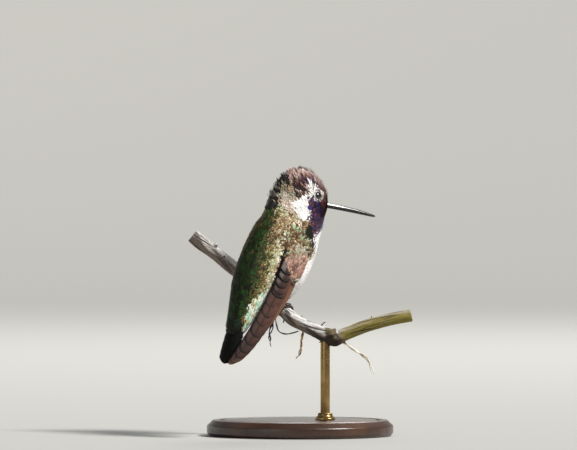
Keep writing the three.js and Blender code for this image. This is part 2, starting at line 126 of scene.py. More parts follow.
def lamp(kind, name, azimuth, elevation, energy, colour, **settings):
    """A lamp turned to the bird; azimuth is counted from +X, in degrees."""
    turn, rise = math.radians(azimuth), math.radians(elevation)
    away = Vector((math.cos(turn) * math.cos(rise), math.sin(turn) * math.cos(rise), math.sin(rise)))
    data = bpy.data.lights.new(name, kind)
    data.energy = energy
    data.color = colour
    for key, value in settings.items():
        setattr(data, key, value)
    piece = bpy.data.objects.new(name, data)
    piece.location = bird_middle + away * LAMP_DISTANCE
    piece.rotation_euler = (-away).to_track_quat("-Z", "Y").to_euler()
    bpy.context.scene.collection.objects.link(piece)


lamp("SUN", "key_lamp", 332, 45, 4.7, (1.0, 0.97, 0.91), angle=math.radians(14))
lamp("AREA", "fill_lamp", 235, 15, 1.8, (0.88, 0.95, 1.0), size=0.8)
lamp("AREA", "back_lamp", 80, 40, 9.0, (1.0, 0.99, 0.96), size=0.6)

CAMERA_DISTANCE = 2.04
CAMERA_RISE = 0.5  # degrees above the horizon
aim = Vector((-3.7 * mm, -8 * mm, 67.3 * mm))
camera_data = bpy.data.cameras.new("camera")
camera_data.lens = 400
camera_data.sensor_width = 36
camera_data.clip_start = 0.01
camera_data.clip_end = 60
camera = bpy.data.objects.new("camera", camera_data)
rise = math.radians(CAMERA_RISE)
camera.location = aim + Vector((0, -math.cos(rise), math.sin(rise))) * CAMERA_DISTANCE
camera.rotation_euler = (math.radians(90) - rise, 0, 0)
bpy.context.scene.collection.objects.link(camera)
bpy.context.scene.camera = camera


# ---- Skin ----
# One skin over the whole body, from the face to the root of the tail, with the folded arms and the shanks.
# The flesh solids are copied, swollen until their parting gaps close, fused, smoothed, and drawn in by the
# depth of the coat, so that the feathers laid on it come out to the true outline.

VOXEL = 0.34 * mm
SWELL = 0.26  # millimetres
LEGS = ["leg_right", "leg_left"]
ARMS = ["wing_right_arm", "wing_left_arm"]
FLESH = ["head", "neck", "trunk", *LEGS, *ARMS]
TAIL_STUB = 30.5 * mm  # how low the fleshy root of the tail reaches under its coverts


def only(*chosen):
    """Selects these objects alone and makes the first one active."""
    bpy.ops.object.select_all(action="DESELECT")
    for piece in chosen:
        piece.select_set(True)
    bpy.context.view_layer.objects.active = chosen[0]


def edit_whole(piece, operator, **settings):
    """Runs one edit operator on the whole of a piece."""
    only(piece)
    bpy.ops.object.mode_set(mode="EDIT")
    bpy.ops.mesh.select_all(action="SELECT")
    operator(**settings)
    bpy.ops.object.mode_set(mode="OBJECT")


def joined(name, pieces):
    """These pieces as one."""
    only(*pieces)
    if len(pieces) > 1:
        bpy.ops.object.join()
    piece = bpy.context.object
    piece.name = name
    piece.data.name = name
    return piece


def copy_of(names, new_name):
    """One merged piece from copies of CAD nodes."""
    copies = []
    for name in names:
        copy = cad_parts[name].copy()
        copy.data = copy.data.copy()
        for key in list(copy.keys()):
            del copy[key]
        copy.parent = None
        bpy.context.scene.collection.objects.link(copy)
        copies.append(copy)
    piece = joined(new_name, copies)
    piece.data.materials.clear()
    edit_whole(piece, bpy.ops.mesh.remove_doubles, threshold=0.002 * mm)
    return piece


def apply_modifier(piece, kind, **settings):
    """Adds one modifier with its settings and applies it."""
    modifier = piece.modifiers.new(kind.lower(), kind)
    for key, value in settings.items():
        setattr(modifier, key, value)
    only(piece)
    bpy.ops.object.modifier_apply(modifier=modifier.name)


def read(items, key, width=3, kind=float):
    """One property of many parts of a mesh as an array, with a row for each."""
    values = np.zeros(len(items) * width, kind)
    items.foreach_get(key, values)
    return values.reshape(-1, width)


def points_of(piece):
    """The piece's vertices in millimetres, and their normals."""
    return read(piece.data.vertices, "co") / mm, read(piece.data.vertices, "normal")


def set_points(piece, place):
    """Moves the piece's vertices to these places in millimetres."""
    piece.data.vertices.foreach_set("co", (place * mm).ravel())
    piece.data.update()


def finish_piece(piece, material, body="root"):
    """Gives a piece its one material and the body it belongs to."""
    piece.data.materials.clear()
    piece.data.materials.append(material)
    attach(piece, body)


def unit(vectors):
    """Vectors of length one."""
    return vectors / np.maximum(np.linalg.norm(vectors, axis=-1, keepdims=True), 1e-9)


def smooth(x, low, high):
    """0 below low, 1 above high, eased between."""
    t = np.clip((x - low) / (high - low), 0, 1)
    return t * t * (3 - 2 * t)


# The bird's middle line: forward of the hip, height, lean and heading of its cross-section, in degrees.
HIP = np.array([-12.6, -10.9])
BODY_YAW = 50
HEAD_YAW = 20
MIDDLE_LINE = np.array([
    [20.4, 86.5, 0, HEAD_YAW],
    [19.5, 79.3, 2, HEAD_YAW],
    [18.9, 75.3, 7, 22],
    [16.9, 71.3, 17, 32],
    [14.9, 66.8, 27, 44],
    [11.5, 61.3, 33, BODY_YAW],
    [3.7, 51.0, 35, BODY_YAW],
    [-4.5, 42.6, 35, BODY_YAW],
    [-11.6, 35.2, 26, BODY_YAW],
    [-15.6, 26.0, 18, BODY_YAW],
])


def heading(yaw):
    """Unit vectors along the floor for headings in degrees."""
    turn = np.radians(yaw)
    return np.stack([np.cos(turn), np.sin(turn), np.zeros_like(turn)], -1)


def sections(count):
    """Middle, front, side and downward normal of cross-sections of the body."""
    share = np.linspace(0, 1, count)
    knots = np.linspace(0, 1, len(MIDDLE_LINE))
    forward, height, lean, yaw = [np.interp(share, knots, column) for column in MIDDLE_LINE.T]
    middle = heading(np.full(count, BODY_YAW)) * forward[:, None]
    middle[:, :2] += HIP
    middle[:, 2] = height
    tilt = np.radians(lean)
    front = heading(yaw) * np.cos(tilt)[:, None]
    front[:, 2] = -np.sin(tilt)
    side = heading(yaw - 90)
    return middle, front, side, np.cross(side, front)


MIDDLE, FRONT, SIDE, DOWN = sections(120)
BODY_AHEAD, BODY_RIGHT = heading(BODY_YAW), heading(BODY_YAW - 90)
HEAD_AHEAD, HEAD_RIGHT = heading(HEAD_YAW), heading(HEAD_YAW - 90)


def body_place(points):
    """Where points are on the bird: angle from the breast (0) to the back (180), signed side, the way down
    the body, and the side-view place (x, z) of the point or of its mirror image on the right side."""
    ahead = points @ DOWN.T - (MIDDLE * DOWN).sum(1)
    index = np.abs(ahead).argmin(1)
    away = points - MIDDLE[index]
    forward = (away * FRONT[index]).sum(1)
    right = (away * SIDE[index]).sum(1)
    angle = np.degrees(np.arctan2(np.abs(right), forward))
    mirrored = MIDDLE[index] + FRONT[index] * forward[:, None] + SIDE[index] * np.abs(right)[:, None]
    return angle, right, DOWN[index], mirrored[:, 0], mirrored[:, 2]


# The middle of the head, the root of the bill and the middles of the eyes, in millimetres.
HEAD_MIDDLE = np.array([*(HIP + BODY_AHEAD[:2] * 19.1), 76.45])
BILL_ROOT = HEAD_MIDDLE + HEAD_AHEAD * 9.4 - np.array([0, 0, 2.8])
SIDES = {"right": 1, "left": -1}
EYES = {side: HEAD_MIDDLE + HEAD_AHEAD * 4.3 + HEAD_RIGHT * (4.25 * sign) for side, sign in SIDES.items()}


def in_node(points, name, below, above):
    """Which points lie in a node's box, grown by millimetres at its lowest and its highest corner."""
    low, high = [np.array(corner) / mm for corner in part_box(name)]
    return np.all((points > low - below) & (points < high + above), axis=1)


# Depth of the coat in millimetres: on the face, how much more on the body, and how much more again on
# the crest and the nape; then on the folded arms and on the bare shanks.
FACE_DEPTH = 0.22
BODY_MORE = 0.33
CREST_MORE = 0.62
ARM_DEPTH = 0.36
SHANK_DEPTH = 0.05
SHANK_TOP = -1.4  # from the top of the leg


def coat_depth(points):
    """How deep the coat is at each point, in millimetres: thin at the bill and deepest on crest and nape."""
    bill = np.linalg.norm(points - BILL_ROOT, axis=1)
    height = points[:, 2]
    crest = smooth(height, 76.5, 80.5) * smooth(bill, 5, 9)
    nape = smooth(body_place(points)[0], 118, 150) * smooth(height, 68, 72)
    depth = FACE_DEPTH + BODY_MORE * smooth(bill, 3, 13) + CREST_MORE * np.maximum(crest, nape)
    for name in ARMS:
        depth = np.where(in_node(points, name, 0.3, 0.3), np.minimum(depth, ARM_DEPTH), depth)
    for name in LEGS:
        depth = np.where(in_node(points, name, 0.4, [0, 0, SHANK_TOP]), SHANK_DEPTH, depth)
    return depth


stub = copy_of(["tail"], "tail_stub")
edit_whole(stub, bpy.ops.mesh.bisect, plane_co=(0, 0, TAIL_STUB), plane_no=(0, 0, 1), use_fill=True,
           clear_inner=True)
skin = joined("skin", [copy_of(FLESH, "skin"), stub])
place, normal = points_of(skin)
set_points(skin, place + normal * SWELL)
apply_modifier(skin, "REMESH", mode="VOXEL", voxel_size=VOXEL, use_smooth_shade=True)
apply_modifier(skin, "SMOOTH", factor=0.5, iterations=8)
place, normal = points_of(skin)
set_points(skin, place - normal * (coat_depth(place) + SWELL)[:, None])
apply_modifier(skin, "SMOOTH", factor=0.5, iterations=3)


# Markings of the coat, the same for the skin and for the feathers on it. Each is a patch outlined in the
# bird's side view, in millimetres, and each has a ground colour, a tip colour and a share of odd feathers.

def tone(red, green, blue):
    """A linear colour from the display values of a paint swatch, 0 to 255."""
    share = np.array([red, green, blue]) / 255
    return np.where(share <= 0.04045, share / 12.92, ((share + 0.055) / 1.055) ** 2.4)


# Each plumage: ground and tip colour as swatches, then odd feathers as share, ground, tip. The violet odd
# feathers of the crown, the indigo of the gorget, the green of the back, the teal of the tail coverts and
# the mint of the shoulder and the wrist are painted glints of the iridescence.
PLUMAGE = {
    "crown": [(34, 14, 16), (180, 130, 120), (0.36, (18, 7, 10), (62, 30, 33)),
        (0.24, (50, 27, 25), (250, 226, 216)), (0.1, (32, 14, 46), (124, 84, 130))],
    # The crest's pale pink tips are partly the crown's own pale tips and partly painted light from above.
    "crest": [(112, 74, 68), (240, 206, 194), (0.28, (38, 18, 21), (128, 82, 76)),
        (0.22, (110, 72, 66), (250, 232, 224))],
    # The nape's near-black is partly its own dark brown and partly painted shade.
    "nape": [(9, 7, 6), (44, 36, 28), (0.24, (24, 18, 15), (234, 220, 200)),
        (0.32, (9, 7, 6), (30, 24, 19))],
    "neck_side": [(92, 76, 54), (190, 170, 142), (0.16, (98, 108, 80), (184, 198, 168)),
        (0.3, (48, 35, 20), (144, 116, 84)), (0.12, (150, 134, 116), (232, 222, 208))],
    "pinkish": [(132, 114, 98), (212, 194, 180), (0.26, (100, 76, 52), (192, 164, 134)),
        (0.1, (126, 130, 104), (206, 212, 190)), (0.18, (178, 166, 156), (240, 232, 226))],
    "white": [(220, 216, 216), (250, 248, 248), (0.1, (196, 194, 188), (234, 236, 230))],
    "gorget": [(11, 6, 15), (104, 74, 106), (0.24, (10, 8, 34), (74, 68, 146)),
        (0.28, (26, 9, 16), (150, 98, 104))],
    "gorget_front": [(50, 14, 20), (160, 80, 80), (0.26, (28, 10, 20), (108, 58, 76))],
    "lores": [(56, 34, 28), (150, 116, 98), (0.36, (28, 16, 14), (84, 56, 46))],
    # A painted shadow in the hollow under the gorget's corner, by the bend of the wing.
    "notch": [(6, 9, 5), (14, 22, 12), (0.24, (16, 8, 5), (48, 25, 14))],
    # A painted shadow in the groove between the back and the folded wing.
    "gap": [(10, 8, 7), (26, 20, 17), (0.3, (9, 11, 6), (24, 28, 15))],
    "breast": [(210, 208, 210), (246, 245, 248), (0.2, (188, 184, 182), (226, 222, 220))],
    "flank": [(170, 172, 152), (230, 232, 218), (0.16, (126, 150, 128), (188, 208, 188)),
        (0.22, (134, 112, 82), (202, 184, 150))],
    "streak": [(176, 186, 164), (242, 246, 234), (0.28, (128, 172, 146), (196, 230, 208)),
        (0.12, (128, 110, 70), (204, 190, 148))],
    # The back's plumages, olive to palest: partly their own bronze-green and partly painted light, most in
    # the palest.
    "back_olive": [(30, 31, 12), (92, 84, 44), (0.3, (16, 19, 8), (50, 52, 24)),
        (0.16, (58, 42, 20), (142, 118, 74)), (0.08, (28, 50, 24), (66, 104, 58))],
    "back": [(66, 58, 28), (158, 146, 92), (0.22, (60, 40, 20), (146, 112, 68)),
        (0.24, (26, 26, 11), (84, 78, 40)), (0.16, (112, 100, 62), (214, 204, 160)),
        (0.07, (50, 76, 40), (112, 148, 96))],
    "back_pale": [(118, 110, 70), (206, 200, 160), (0.22, (82, 70, 38), (170, 152, 104)),
        (0.2, (120, 132, 100), (196, 208, 178)), (0.2, (168, 160, 138), (240, 234, 218))],
    "scapular": [(176, 168, 146), (240, 234, 220), (0.25, (122, 110, 74), (200, 188, 148)),
        (0.16, (140, 160, 134), (210, 226, 206))],
    # The back's middle: its own dark green, darkened further as painted shade.
    "back_middle": [(13, 23, 6), (38, 54, 15), (0.14, (16, 38, 13), (42, 78, 30)),
        (0.3, (7, 12, 4), (23, 31, 9)), (0.05, (38, 35, 16), (82, 76, 40))],
    # The tail coverts' near-black is partly their own dark green and partly painted shade.
    "tail_covert": [(9, 14, 6), (27, 33, 14), (0.24, (7, 9, 5), (20, 22, 11)),
        (0.04, (14, 26, 18), (36, 58, 44))],
    "shoulder": [(76, 60, 36), (158, 137, 99), (0.14, (90, 106, 78), (172, 190, 158)),
        (0.4, (44, 27, 17), (112, 81, 56)), (0.12, (150, 136, 114), (222, 208, 188))],
    "wrist": [(118, 114, 98), (182, 176, 158), (0.2, (106, 118, 104), (168, 182, 168)),
        (0.3, (84, 57, 43), (164, 132, 108))],
    "covert": [(140, 101, 87), (208, 168, 151), (0.14, (150, 118, 104), (222, 192, 178)),
        (0.18, (86, 58, 49), (150, 110, 95))],
    "thigh": [(188, 180, 172), (232, 226, 218), (0.3, (150, 138, 122), (206, 194, 178))],
}

# Outlines of the patches in side view (x, z), in the order that one covers the last.
PATCHES = [
    ("nape", [(-12.0, 72.4), (-9.2, 73.0), (-8.4, 74.8), (-7.4, 76.6), (-6.4, 78.2), (-5.2, 79.4),
        (-3.2, 80.0), (-2.8, 81.2), (-3.4, 84.4), (-9.0, 84.0)]),
    ("white", [(2.0, 77.2), (3.0, 75.2), (2.6, 74.4), (2.6, 73.4), (2.9, 72.2), (3.0, 69.8), (2.8, 68.4),
        (1.6, 68.4), (0.2, 68.6), (-1.0, 69.6), (-1.6, 71.0), (-2.2, 72.4), (-2.8, 73.6), (-2.8, 74.8),
        (-2.2, 75.8), (-1.0, 75.2)]),
    ("pinkish", [(-2.8, 76.0), (-2.8, 73.6), (-2.0, 71.4), (-1.0, 69.2), (-3.0, 70.4), (-6.2, 72.6),
        (-7.4, 74.2), (-6.0, 76.2)]),
    ("crown", [(-3.6, 83.0), (-2.7, 80.4), (-2.5, 78.2), (-2.1, 76.4), (-1.3, 75.4), (-0.5, 75.0),
        (0.1, 75.4), (0.4, 76.2), (2.2, 76.6), (2.9, 77.6), (6.6, 78.2), (7.9, 77.0), (9.8, 75.6),
        (9.8, 88.0), (-5.9, 88.0)]),
    ("white", [(2.3, 81.5), (2.6, 81.5), (2.7, 80.9), (3.2, 80.2), (4.4, 79.5), (5.6, 78.7), (6.6, 78.0),
        (7.2, 77.2), (6.9, 76.2), (6.4, 75.3), (5.8, 74.9), (4.6, 75.3), (3.4, 76.2), (2.2, 76.4),
        (2.8, 77.0), (3.0, 77.9), (2.8, 79.2), (2.4, 80.8)]),
    ("lores", [(6.6, 75.4), (7.0, 76.4), (7.3, 77.2), (8.2, 77.0), (9.8, 76.0), (9.8, 74.2), (8.3, 74.4),
        (7.0, 75.0)]),
    ("gorget", [(2.3, 76.2), (3.4, 76.0), (4.6, 75.3), (5.8, 74.9), (6.9, 75.2), (8.3, 74.6), (9.8, 74.4),
        (9.8, 70.5), (8.6, 67.6), (6.6, 66.2), (5.4, 65.2), (4.6, 64.0), (4.0, 63.6), (3.4, 64.8),
        (3.0, 66.6), (2.6, 68.2), (2.8, 70.0), (2.7, 72.4), (2.3, 73.4), (2.7, 75.2)]),
    ("gorget_front", [(6.9, 75.2), (8.3, 74.6), (9.8, 74.4), (9.8, 70.0), (7.6, 69.4), (7.0, 71.5),
        (6.8, 73.2)]),
    ("shoulder", [(-4.8, 61.8), (-4.4, 63.5), (-5.5, 66.4), (-3.2, 67.8), (0.0, 67.2), (1.8, 66.0),
        (1.0, 64.2), (3.0, 62.0), (3.9, 58.6), (2.6, 56.0), (-4.0, 56.0)]),
    ("covert", [(-4.6, 57.0), (2.6, 57.0), (1.8, 53.4), (0.6, 50.6), (-2.6, 50.4), (-5.0, 51.4)]),
    # A painted shadow under the gorget's corner.
    ("notch", [(0.9, 65.0), (1.6, 66.4), (2.1, 67.8), (2.9, 67.8), (3.4, 66.2), (3.8, 64.0), (4.3, 61.8),
        (4.3, 60.0), (3.9, 58.8), (3.2, 59.6), (2.9, 61.2), (2.6, 62.4), (1.9, 62.8), (1.2, 63.6)]),
    ("streak", [(-10.4, 46.4), (-13.0, 38.0), (-14.4, 34.8), (-15.6, 32.4), (-18.6, 32.4), (-18.2, 34.6),
        (-17.4, 37.0), (-17.0, 39.4), (-16.4, 41.6), (-14.6, 43.6), (-12.4, 45.8)]),
    # A painted shadow in the groove between the back and the folded wing.
    ("gap", [(-5.5, 61.8), (-4.6, 61.6), (-4.0, 59.0), (-4.5, 57.2), (-4.7, 54.6), (-4.9, 52.4),
        (-5.0, 50.0), (-7.0, 47.0), (-9.8, 45.6), (-9.0, 48.6), (-8.1, 51.4), (-7.2, 54.6), (-6.2, 57.4),
        (-5.6, 59.4)]),
]
WRIST_PATCH = [(-2.4, 60.8), (1.8, 61.4), (3.2, 59.0), (2.4, 57.6), (-1.8, 57.2)]
# How far round from the breast the back's dark middle begins and its pale edge ends, tail to nape. The
# dark middle is partly painted shade and the pale edge partly painted light.
BACK_HEIGHTS = [34, 38, 42, 46, 50, 54, 58, 62, 66, 70]
DARK_ANGLES = [100, 132, 137, 145, 151, 157, 160, 166, 172, 171]
PALE_ANGLES = [80, 108, 112, 111, 116, 124, 131, 135, 134, 127]
# The back from its dark middle outward, lighter at each step, partly as its own tone and partly as
# painted light: share of the way at which each plumage begins.
BACK_ORDER = [(0.0, "back_olive"), (0.26, "back"), (0.60, "back_pale"), (0.86, "scapular")]
# Edges of the plumages, in degrees round from the breast.
FRONT_EDGE = 80
BACK_EDGE = 104  # where the white underside gives way to the green back
NAPE_EDGE = 150
# Edges of the plumages, in millimetres above the floor.
TAIL_ROOT = 33.4
THIGH_TOP = 46
COVERT_TOP = 57.4
NECK_FOOT = 62
ARM_TOP = 63.2
SHOULDER_TOP = 68.5
NAPE_FOOT = 71.5
BACK_TOP = 72.5
CROWN_FOOT = 82.6
CROWN_TOP = 84.5
CREST_HALF = 3.3  # half of the crest's width
ARM_REACH = 0.65  # how near the arm a feather belongs to it


def within(x, z, outline):
    """Which points lie inside an outline."""
    inside = np.zeros(len(x), bool)
    for (x1, z1), (x2, z2) in zip(outline, outline[1:] + outline[:1]):
        crosses = (z1 > z) != (z2 > z)
        edge = x1 + (z - z1) * (x2 - x1) / (z2 - z1 if z2 != z1 else 1)
        inside ^= crosses & (x < edge)
    return inside


arm_places, arm_faces = [], []
for name in ARMS:
    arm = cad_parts[name].data
    arm_faces += [[corner + len(arm_places) for corner in face.vertices] for face in arm.polygons]
    arm_places += [vertex.co / mm for vertex in arm.vertices]
arm_tree = BVHTree.FromPolygons(arm_places, arm_faces)


def plumage_at(points, wander):
    """The name of the plumage at each point; wander shifts the patches' edges by random millimetres."""
    angle, right, _, x, z = body_place(points)
    x = x + wander[:, 0]
    z = z + wander[:, 1]
    angle = angle + wander[:, 2] * 8
    names = np.full(len(points), "breast", dtype=object)
    names[(z > NECK_FOOT) & (angle > FRONT_EDGE)] = "neck_side"
    back_line = BACK_EDGE - 12 * smooth(z, 30, 44)
    names[(z < NECK_FOOT + 1) & (angle > back_line - 18)] = "flank"
    dark_line = np.interp(z, BACK_HEIGHTS, DARK_ANGLES)
    pale_line = np.interp(z, BACK_HEIGHTS, PALE_ANGLES)
    outward = (dark_line - angle) / (dark_line - pale_line) + wander[:, 2] * 0.7
    blurred = z + wander[:, 1] * 7
    low_back = (blurred < SHOULDER_TOP) | (blurred < BACK_TOP + 0.5) & (outward < 0.45)
    on_back = low_back & (angle > back_line)
    # Plumages paler outward from the back's middle: partly painted light.
    for begin, name in BACK_ORDER:
        names[on_back & (outward >= begin)] = name
    names[on_back & (blurred > NECK_FOOT) & (outward > 0.42)] = "shoulder"
    # The middle of the back takes the darkest plumage, partly painted shade.
    names[(z < BACK_TOP) & (angle > back_line) & (outward < 0)] = "back_middle"
    names[(z < 36.5 + 0.05 * (angle - 130)) & (angle > back_line - 20)] = "tail_covert"
    for name, outline in PATCHES:
        patch = within(x, z, outline)
        if name == "crown":
            patch &= (angle < NAPE_EDGE + 20) | (z > CROWN_FOOT)
        if name in ("streak", "covert"):
            patch &= angle > FRONT_EDGE
        # The painted shadow beside the wing is kept aside and laid last, over the arm's plumages.
        if name == "gap":
            gap = patch & (angle > 60)
            continue
        names[patch] = name
    names[(z > NAPE_FOOT) & (z < CROWN_FOOT) & (angle > NAPE_EDGE + 12)] = "nape"
    names[z > CROWN_TOP] = "crown"
    names[(names == "crown") & (np.abs(right) < CREST_HALF)] = "crest"
    arm_gap = np.array([arm_tree.find_nearest(point)[3] for point in points])
    on_arm = arm_gap < ARM_REACH
    names[on_arm & (z < ARM_TOP)] = "shoulder"
    names[on_arm & within(x, z, WRIST_PATCH)] = "wrist"
    names[on_arm & (z < COVERT_TOP)] = "covert"
    names[gap] = "gap"
    names[(z < TAIL_ROOT) & (names != "streak")] = "tail_covert"
    for leg in LEGS:
        names[in_node(points, leg, 0.5, 0.5) & (points[:, 2] < THIGH_TOP)] = "thigh"
    return names


def plumage_colours(names, dice, field):
    """Ground and tip colour of each feather: its plumage's own, or an odd one, with a little drift."""
    ground = np.zeros((len(names), 3))
    tip = np.zeros((len(names), 3))
    for name, (own_ground, own_tip, *odd) in PLUMAGE.items():
        mine = names == name
        ground[mine], tip[mine] = tone(*own_ground), tone(*own_tip)
        reached = 0
        for share, odd_ground, odd_tip in odd:
            chosen = mine & (dice[:, 0] >= reached) & (dice[:, 0] < reached + share)
            ground[chosen], tip[chosen] = tone(*odd_ground), tone(*odd_tip)
            reached += share
    drift = (0.82 + 0.36 * dice[:, 1:2]) * field[:, None]
    return ground * drift, tip * drift


def slow_field(points):
    """A slow brightness drift over the body, from two crossed waves."""
    waves = np.sin(points @ np.array([0.31, 0.22, 0.17])) + np.sin(
        points @ np.array([-0.19, 0.33, 0.27]) * 1.7 + 1.3)
    return 1 + 0.07 * waves


def blend(first, second, share):
    """Colours from the first, at share 0, to the second, at share 1."""
    share = np.asarray(share)[..., None]
    return first * (1 - share) + second * share


def tint_attribute(piece, colours):
    """Stores one colour for each vertex as the attribute Tint."""
    layer = piece.data.attributes.new("Tint", "FLOAT_COLOR", "POINT")
    layer.data.foreach_set("color", np.concatenate([colours, np.ones((len(colours), 1))], 1).ravel())


# Markings for the skin, with no odd feathers, and darker than the feathers that lie over it.
NO_ODD = 0.99
SKIN_SHADE = 0.75
place, normal = points_of(skin)
chance = np.random.default_rng(4)
skin_names = plumage_at(place, np.zeros((len(place), 3)))
skin_ground, _ = plumage_colours(skin_names, np.full((len(place), 2), NO_ODD), slow_field(place))
tint_attribute(skin, skin_ground * SKIN_SHADE)
skin.data.uv_layers.new(name="OFBake")
edit_whole(skin, bpy.ops.uv.smart_project, angle_limit=math.radians(66), island_margin=0.004)


def add_node(surface, kind, inputs, **settings):
    """A node beside a shader, with its settings; each input is a constant or the socket that feeds it."""
    tree = surface.id_data
    node = tree.nodes.new("ShaderNode" + kind)
    for key, value in settings.items():
        setattr(node, key, value)
    for key, value in inputs.items():
        if isinstance(value, bpy.types.NodeSocket):
            tree.links.new(value, node.inputs[key])
        else:
            node.inputs[key].default_value = value
    return node


def feed(surface, key, socket):
    """Leads a node's result to one of the shader's inputs."""
    surface.id_data.links.new(socket, surface.inputs[key])


def own_tint(surface):
    """The colour that the piece carries as its attribute Tint."""
    return add_node(surface, "Attribute", {}, attribute_name="Tint").outputs["Color"]


def noise(surface, scale, detail=4, stretch=(1, 1, 1), source="Object"):
    """Noise on the piece's own coordinates, drawn out by stretch; a UV map is given by its name."""
    if source == "Object":
        coordinates = add_node(surface, "TexCoord", {}).outputs["Object"]
    else:
        coordinates = add_node(surface, "UVMap", {}, uv_map=source).outputs["UV"]
    mapped = add_node(surface, "Mapping", {"Scale": stretch, "Vector": coordinates}).outputs["Vector"]
    return add_node(surface, "TexNoise", {"Scale": scale, "Detail": detail, "Vector": mapped}).outputs["Fac"]


def mixed(surface, kind, factor, first, second):
    """A colour mix of two sockets."""
    inputs = {"Factor": factor, "A": first, "B": second}
    return add_node(surface, "Mix", inputs, data_type="RGBA", blend_type=kind).outputs["Result"]


def bump_from(surface, height, strength, depth):
    """A bump of this depth in millimetres under the shader."""
    bump = add_node(surface, "Bump", {"Strength": strength, "Distance": depth * mm, "Height": height})
    feed(surface, "Normal", bump.outputs["Normal"])


skin_material, surface = shade("feathered_skin", Roughness=0.85)
pores = noise(surface, 2600)
feed(surface, "Base Color", mixed(surface, "MULTIPLY", 0.45, own_tint(surface), pores.node.outputs["Color"]))
bump_from(surface, pores, 0.4, 0.05)
finish_piece(skin, skin_material)
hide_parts(*FLESH)


# ---- Coat ----
# Contour feathers: small arched vanes of keratin barbs, each rooted in the skin and lying back over the
# next like a roof tile. Every tract of the coat is one joined piece, with its own size, lift and finish.

VANE_ROWS = 5
ROW_PLACE = np.array([0.0, 0.28, 0.55, 0.80, 1.0])
ROW_FALL = np.array([0, 0, 0, 0.45, 1.0])  # how much of the fall of its tip each row has
# Half-width along the vane for each kind of feather, and how far the edges of its tip fall back.
SHAPES = {
    "round": (np.array([0.45, 0.86, 1.0, 0.94, 0.62]), 0.10),
    "pointed": (np.array([0.50, 0.92, 0.86, 0.56, 0.14]), 0.08),
    "downy": (np.array([0.50, 0.90, 1.0, 0.92, 0.60]), 0.12),
}
BAKE_PATCH = 0.003  # width of one feather in the skin's unwrap
ROOTS = 150000
SHOWN = 0.86  # share of a feather's length at which it comes out from under the next
CLUMP = 1.15  # millimetres between the clumps in which feathers cling together
VANE_ARCH = 0.08  # rise of a vane's middle as a share of its width
BARBS_ALONG = 150  # waves of barbs along a vane and across it, in radians
BARBS_ACROSS = -110
BARE_MOUTH = 1.35  # no feather is rooted this near the bill's root, or this near an eye's middle
BARE_EYE = 1.72

skin.data.calc_loop_triangles()
triangles = read(skin.data.loop_triangles, "vertices", kind=int)
triangle_loops = read(skin.data.loop_triangles, "loops", kind=int)
skin_place, skin_normal = points_of(skin)
skin_uv = read(skin.data.uv_layers["OFBake"].data, "uv", 2)
skin_tree = BVHTree.FromPolygons([Vector(p) for p in skin_place], triangles.tolist())

# Roots strewn evenly over the skin, each with its place in the skin's unwrap and its own wander.
corners = skin_place[triangles]
triangle_area = np.linalg.norm(np.cross(corners[:, 1] - corners[:, 0], corners[:, 2] - corners[:, 0]), axis=1)
picked = chance.choice(len(triangles), ROOTS, p=triangle_area / triangle_area.sum())
weights = chance.random((ROOTS, 2))
folded = weights.sum(1) > 1
weights[folded] = 1 - weights[folded]
weights = np.stack([1 - weights.sum(1), weights[:, 0], weights[:, 1]], 1)
root_place, root_normal, root_uv = [(values[picked] * weights[:, :, None]).sum(1) for values in (
    corners, skin_normal[triangles], skin_uv[triangle_loops])]
root_normal = unit(root_normal)
root_wander = chance.normal(0, 0.16, (ROOTS, 3))
root_down = body_place(root_place)[2]
root_bill = root_place - BILL_ROOT
root_from_bill = np.linalg.norm(root_bill, axis=1)
root_from_eye = np.minimum(*[np.linalg.norm(root_place - middle, axis=1) for middle in EYES.values()])
under_tail = (root_normal[:, 2] < -0.75) & (root_place[:, 2] < 32)  # the flat end of the tail's root
rootable = (root_from_bill >= BARE_MOUTH) & (root_from_eye > BARE_EYE) & ~under_tail

# The lie of the coat: back and round from the root of the bill on the head, then down the body.
root_flow = unit(root_bill) * 0.9 + root_down * (0.15 + 0.95 * smooth(root_from_bill, 5, 15))[:, None]
below_head = smooth(-root_place[:, 2], -72, -64)[:, None]
root_flow = root_flow * (1 - below_head) + root_down * below_head
root_flow = unit(root_flow - (root_flow * root_normal).sum(1)[:, None] * root_normal)
near_bill = 0.42 + 0.58 * smooth(root_from_bill, 2, 10)  # feathers are smaller towards the bill


def tree_of(points):
    """A search tree of points, each known by its row."""
    tree = KDTree(len(points))
    for row, point in enumerate(points):
        tree.insert(point, row)
    tree.balance()
    return tree


def scatter(allowed, spacing):
    """Indices of roots among the allowed ones, none nearer to another than its spacing."""
    index = np.flatnonzero(allowed)
    tree = tree_of(root_place[index])
    alive = np.ones(len(index), bool)
    kept = []
    for number in range(len(index)):
        if not alive[number]:
            continue
        kept.append(number)
        for _, other, _ in tree.find_range(root_place[index[number]], spacing[index[number]]):
            alive[other] = False
    return index[kept]


def quill_lines(roots, length, flow):
    """Each feather's line over the skin: places, outward normals and directions at each row."""
    places = np.zeros((len(roots), VANE_ROWS, 3))
    normals = np.zeros_like(places)
    directions = np.zeros_like(places)
    here = root_place[roots].copy()
    out = root_normal[roots].copy()
    ahead = flow.copy()
    for row in range(VANE_ROWS):
        if row:
            here = here + ahead * (length * (ROW_PLACE[row] - ROW_PLACE[row - 1]))[:, None]
            for number in range(len(roots)):
                spot, face_normal, _, _ = skin_tree.find_nearest(here[number])
                here[number] = spot
                out[number] = 0.55 * out[number] + 0.45 * np.array(face_normal)
            out = unit(out)
            ahead = unit(ahead - (ahead * out).sum(1)[:, None] * out)
        places[:, row], normals[:, row], directions[:, row] = here, out, ahead
    return places, normals, directions


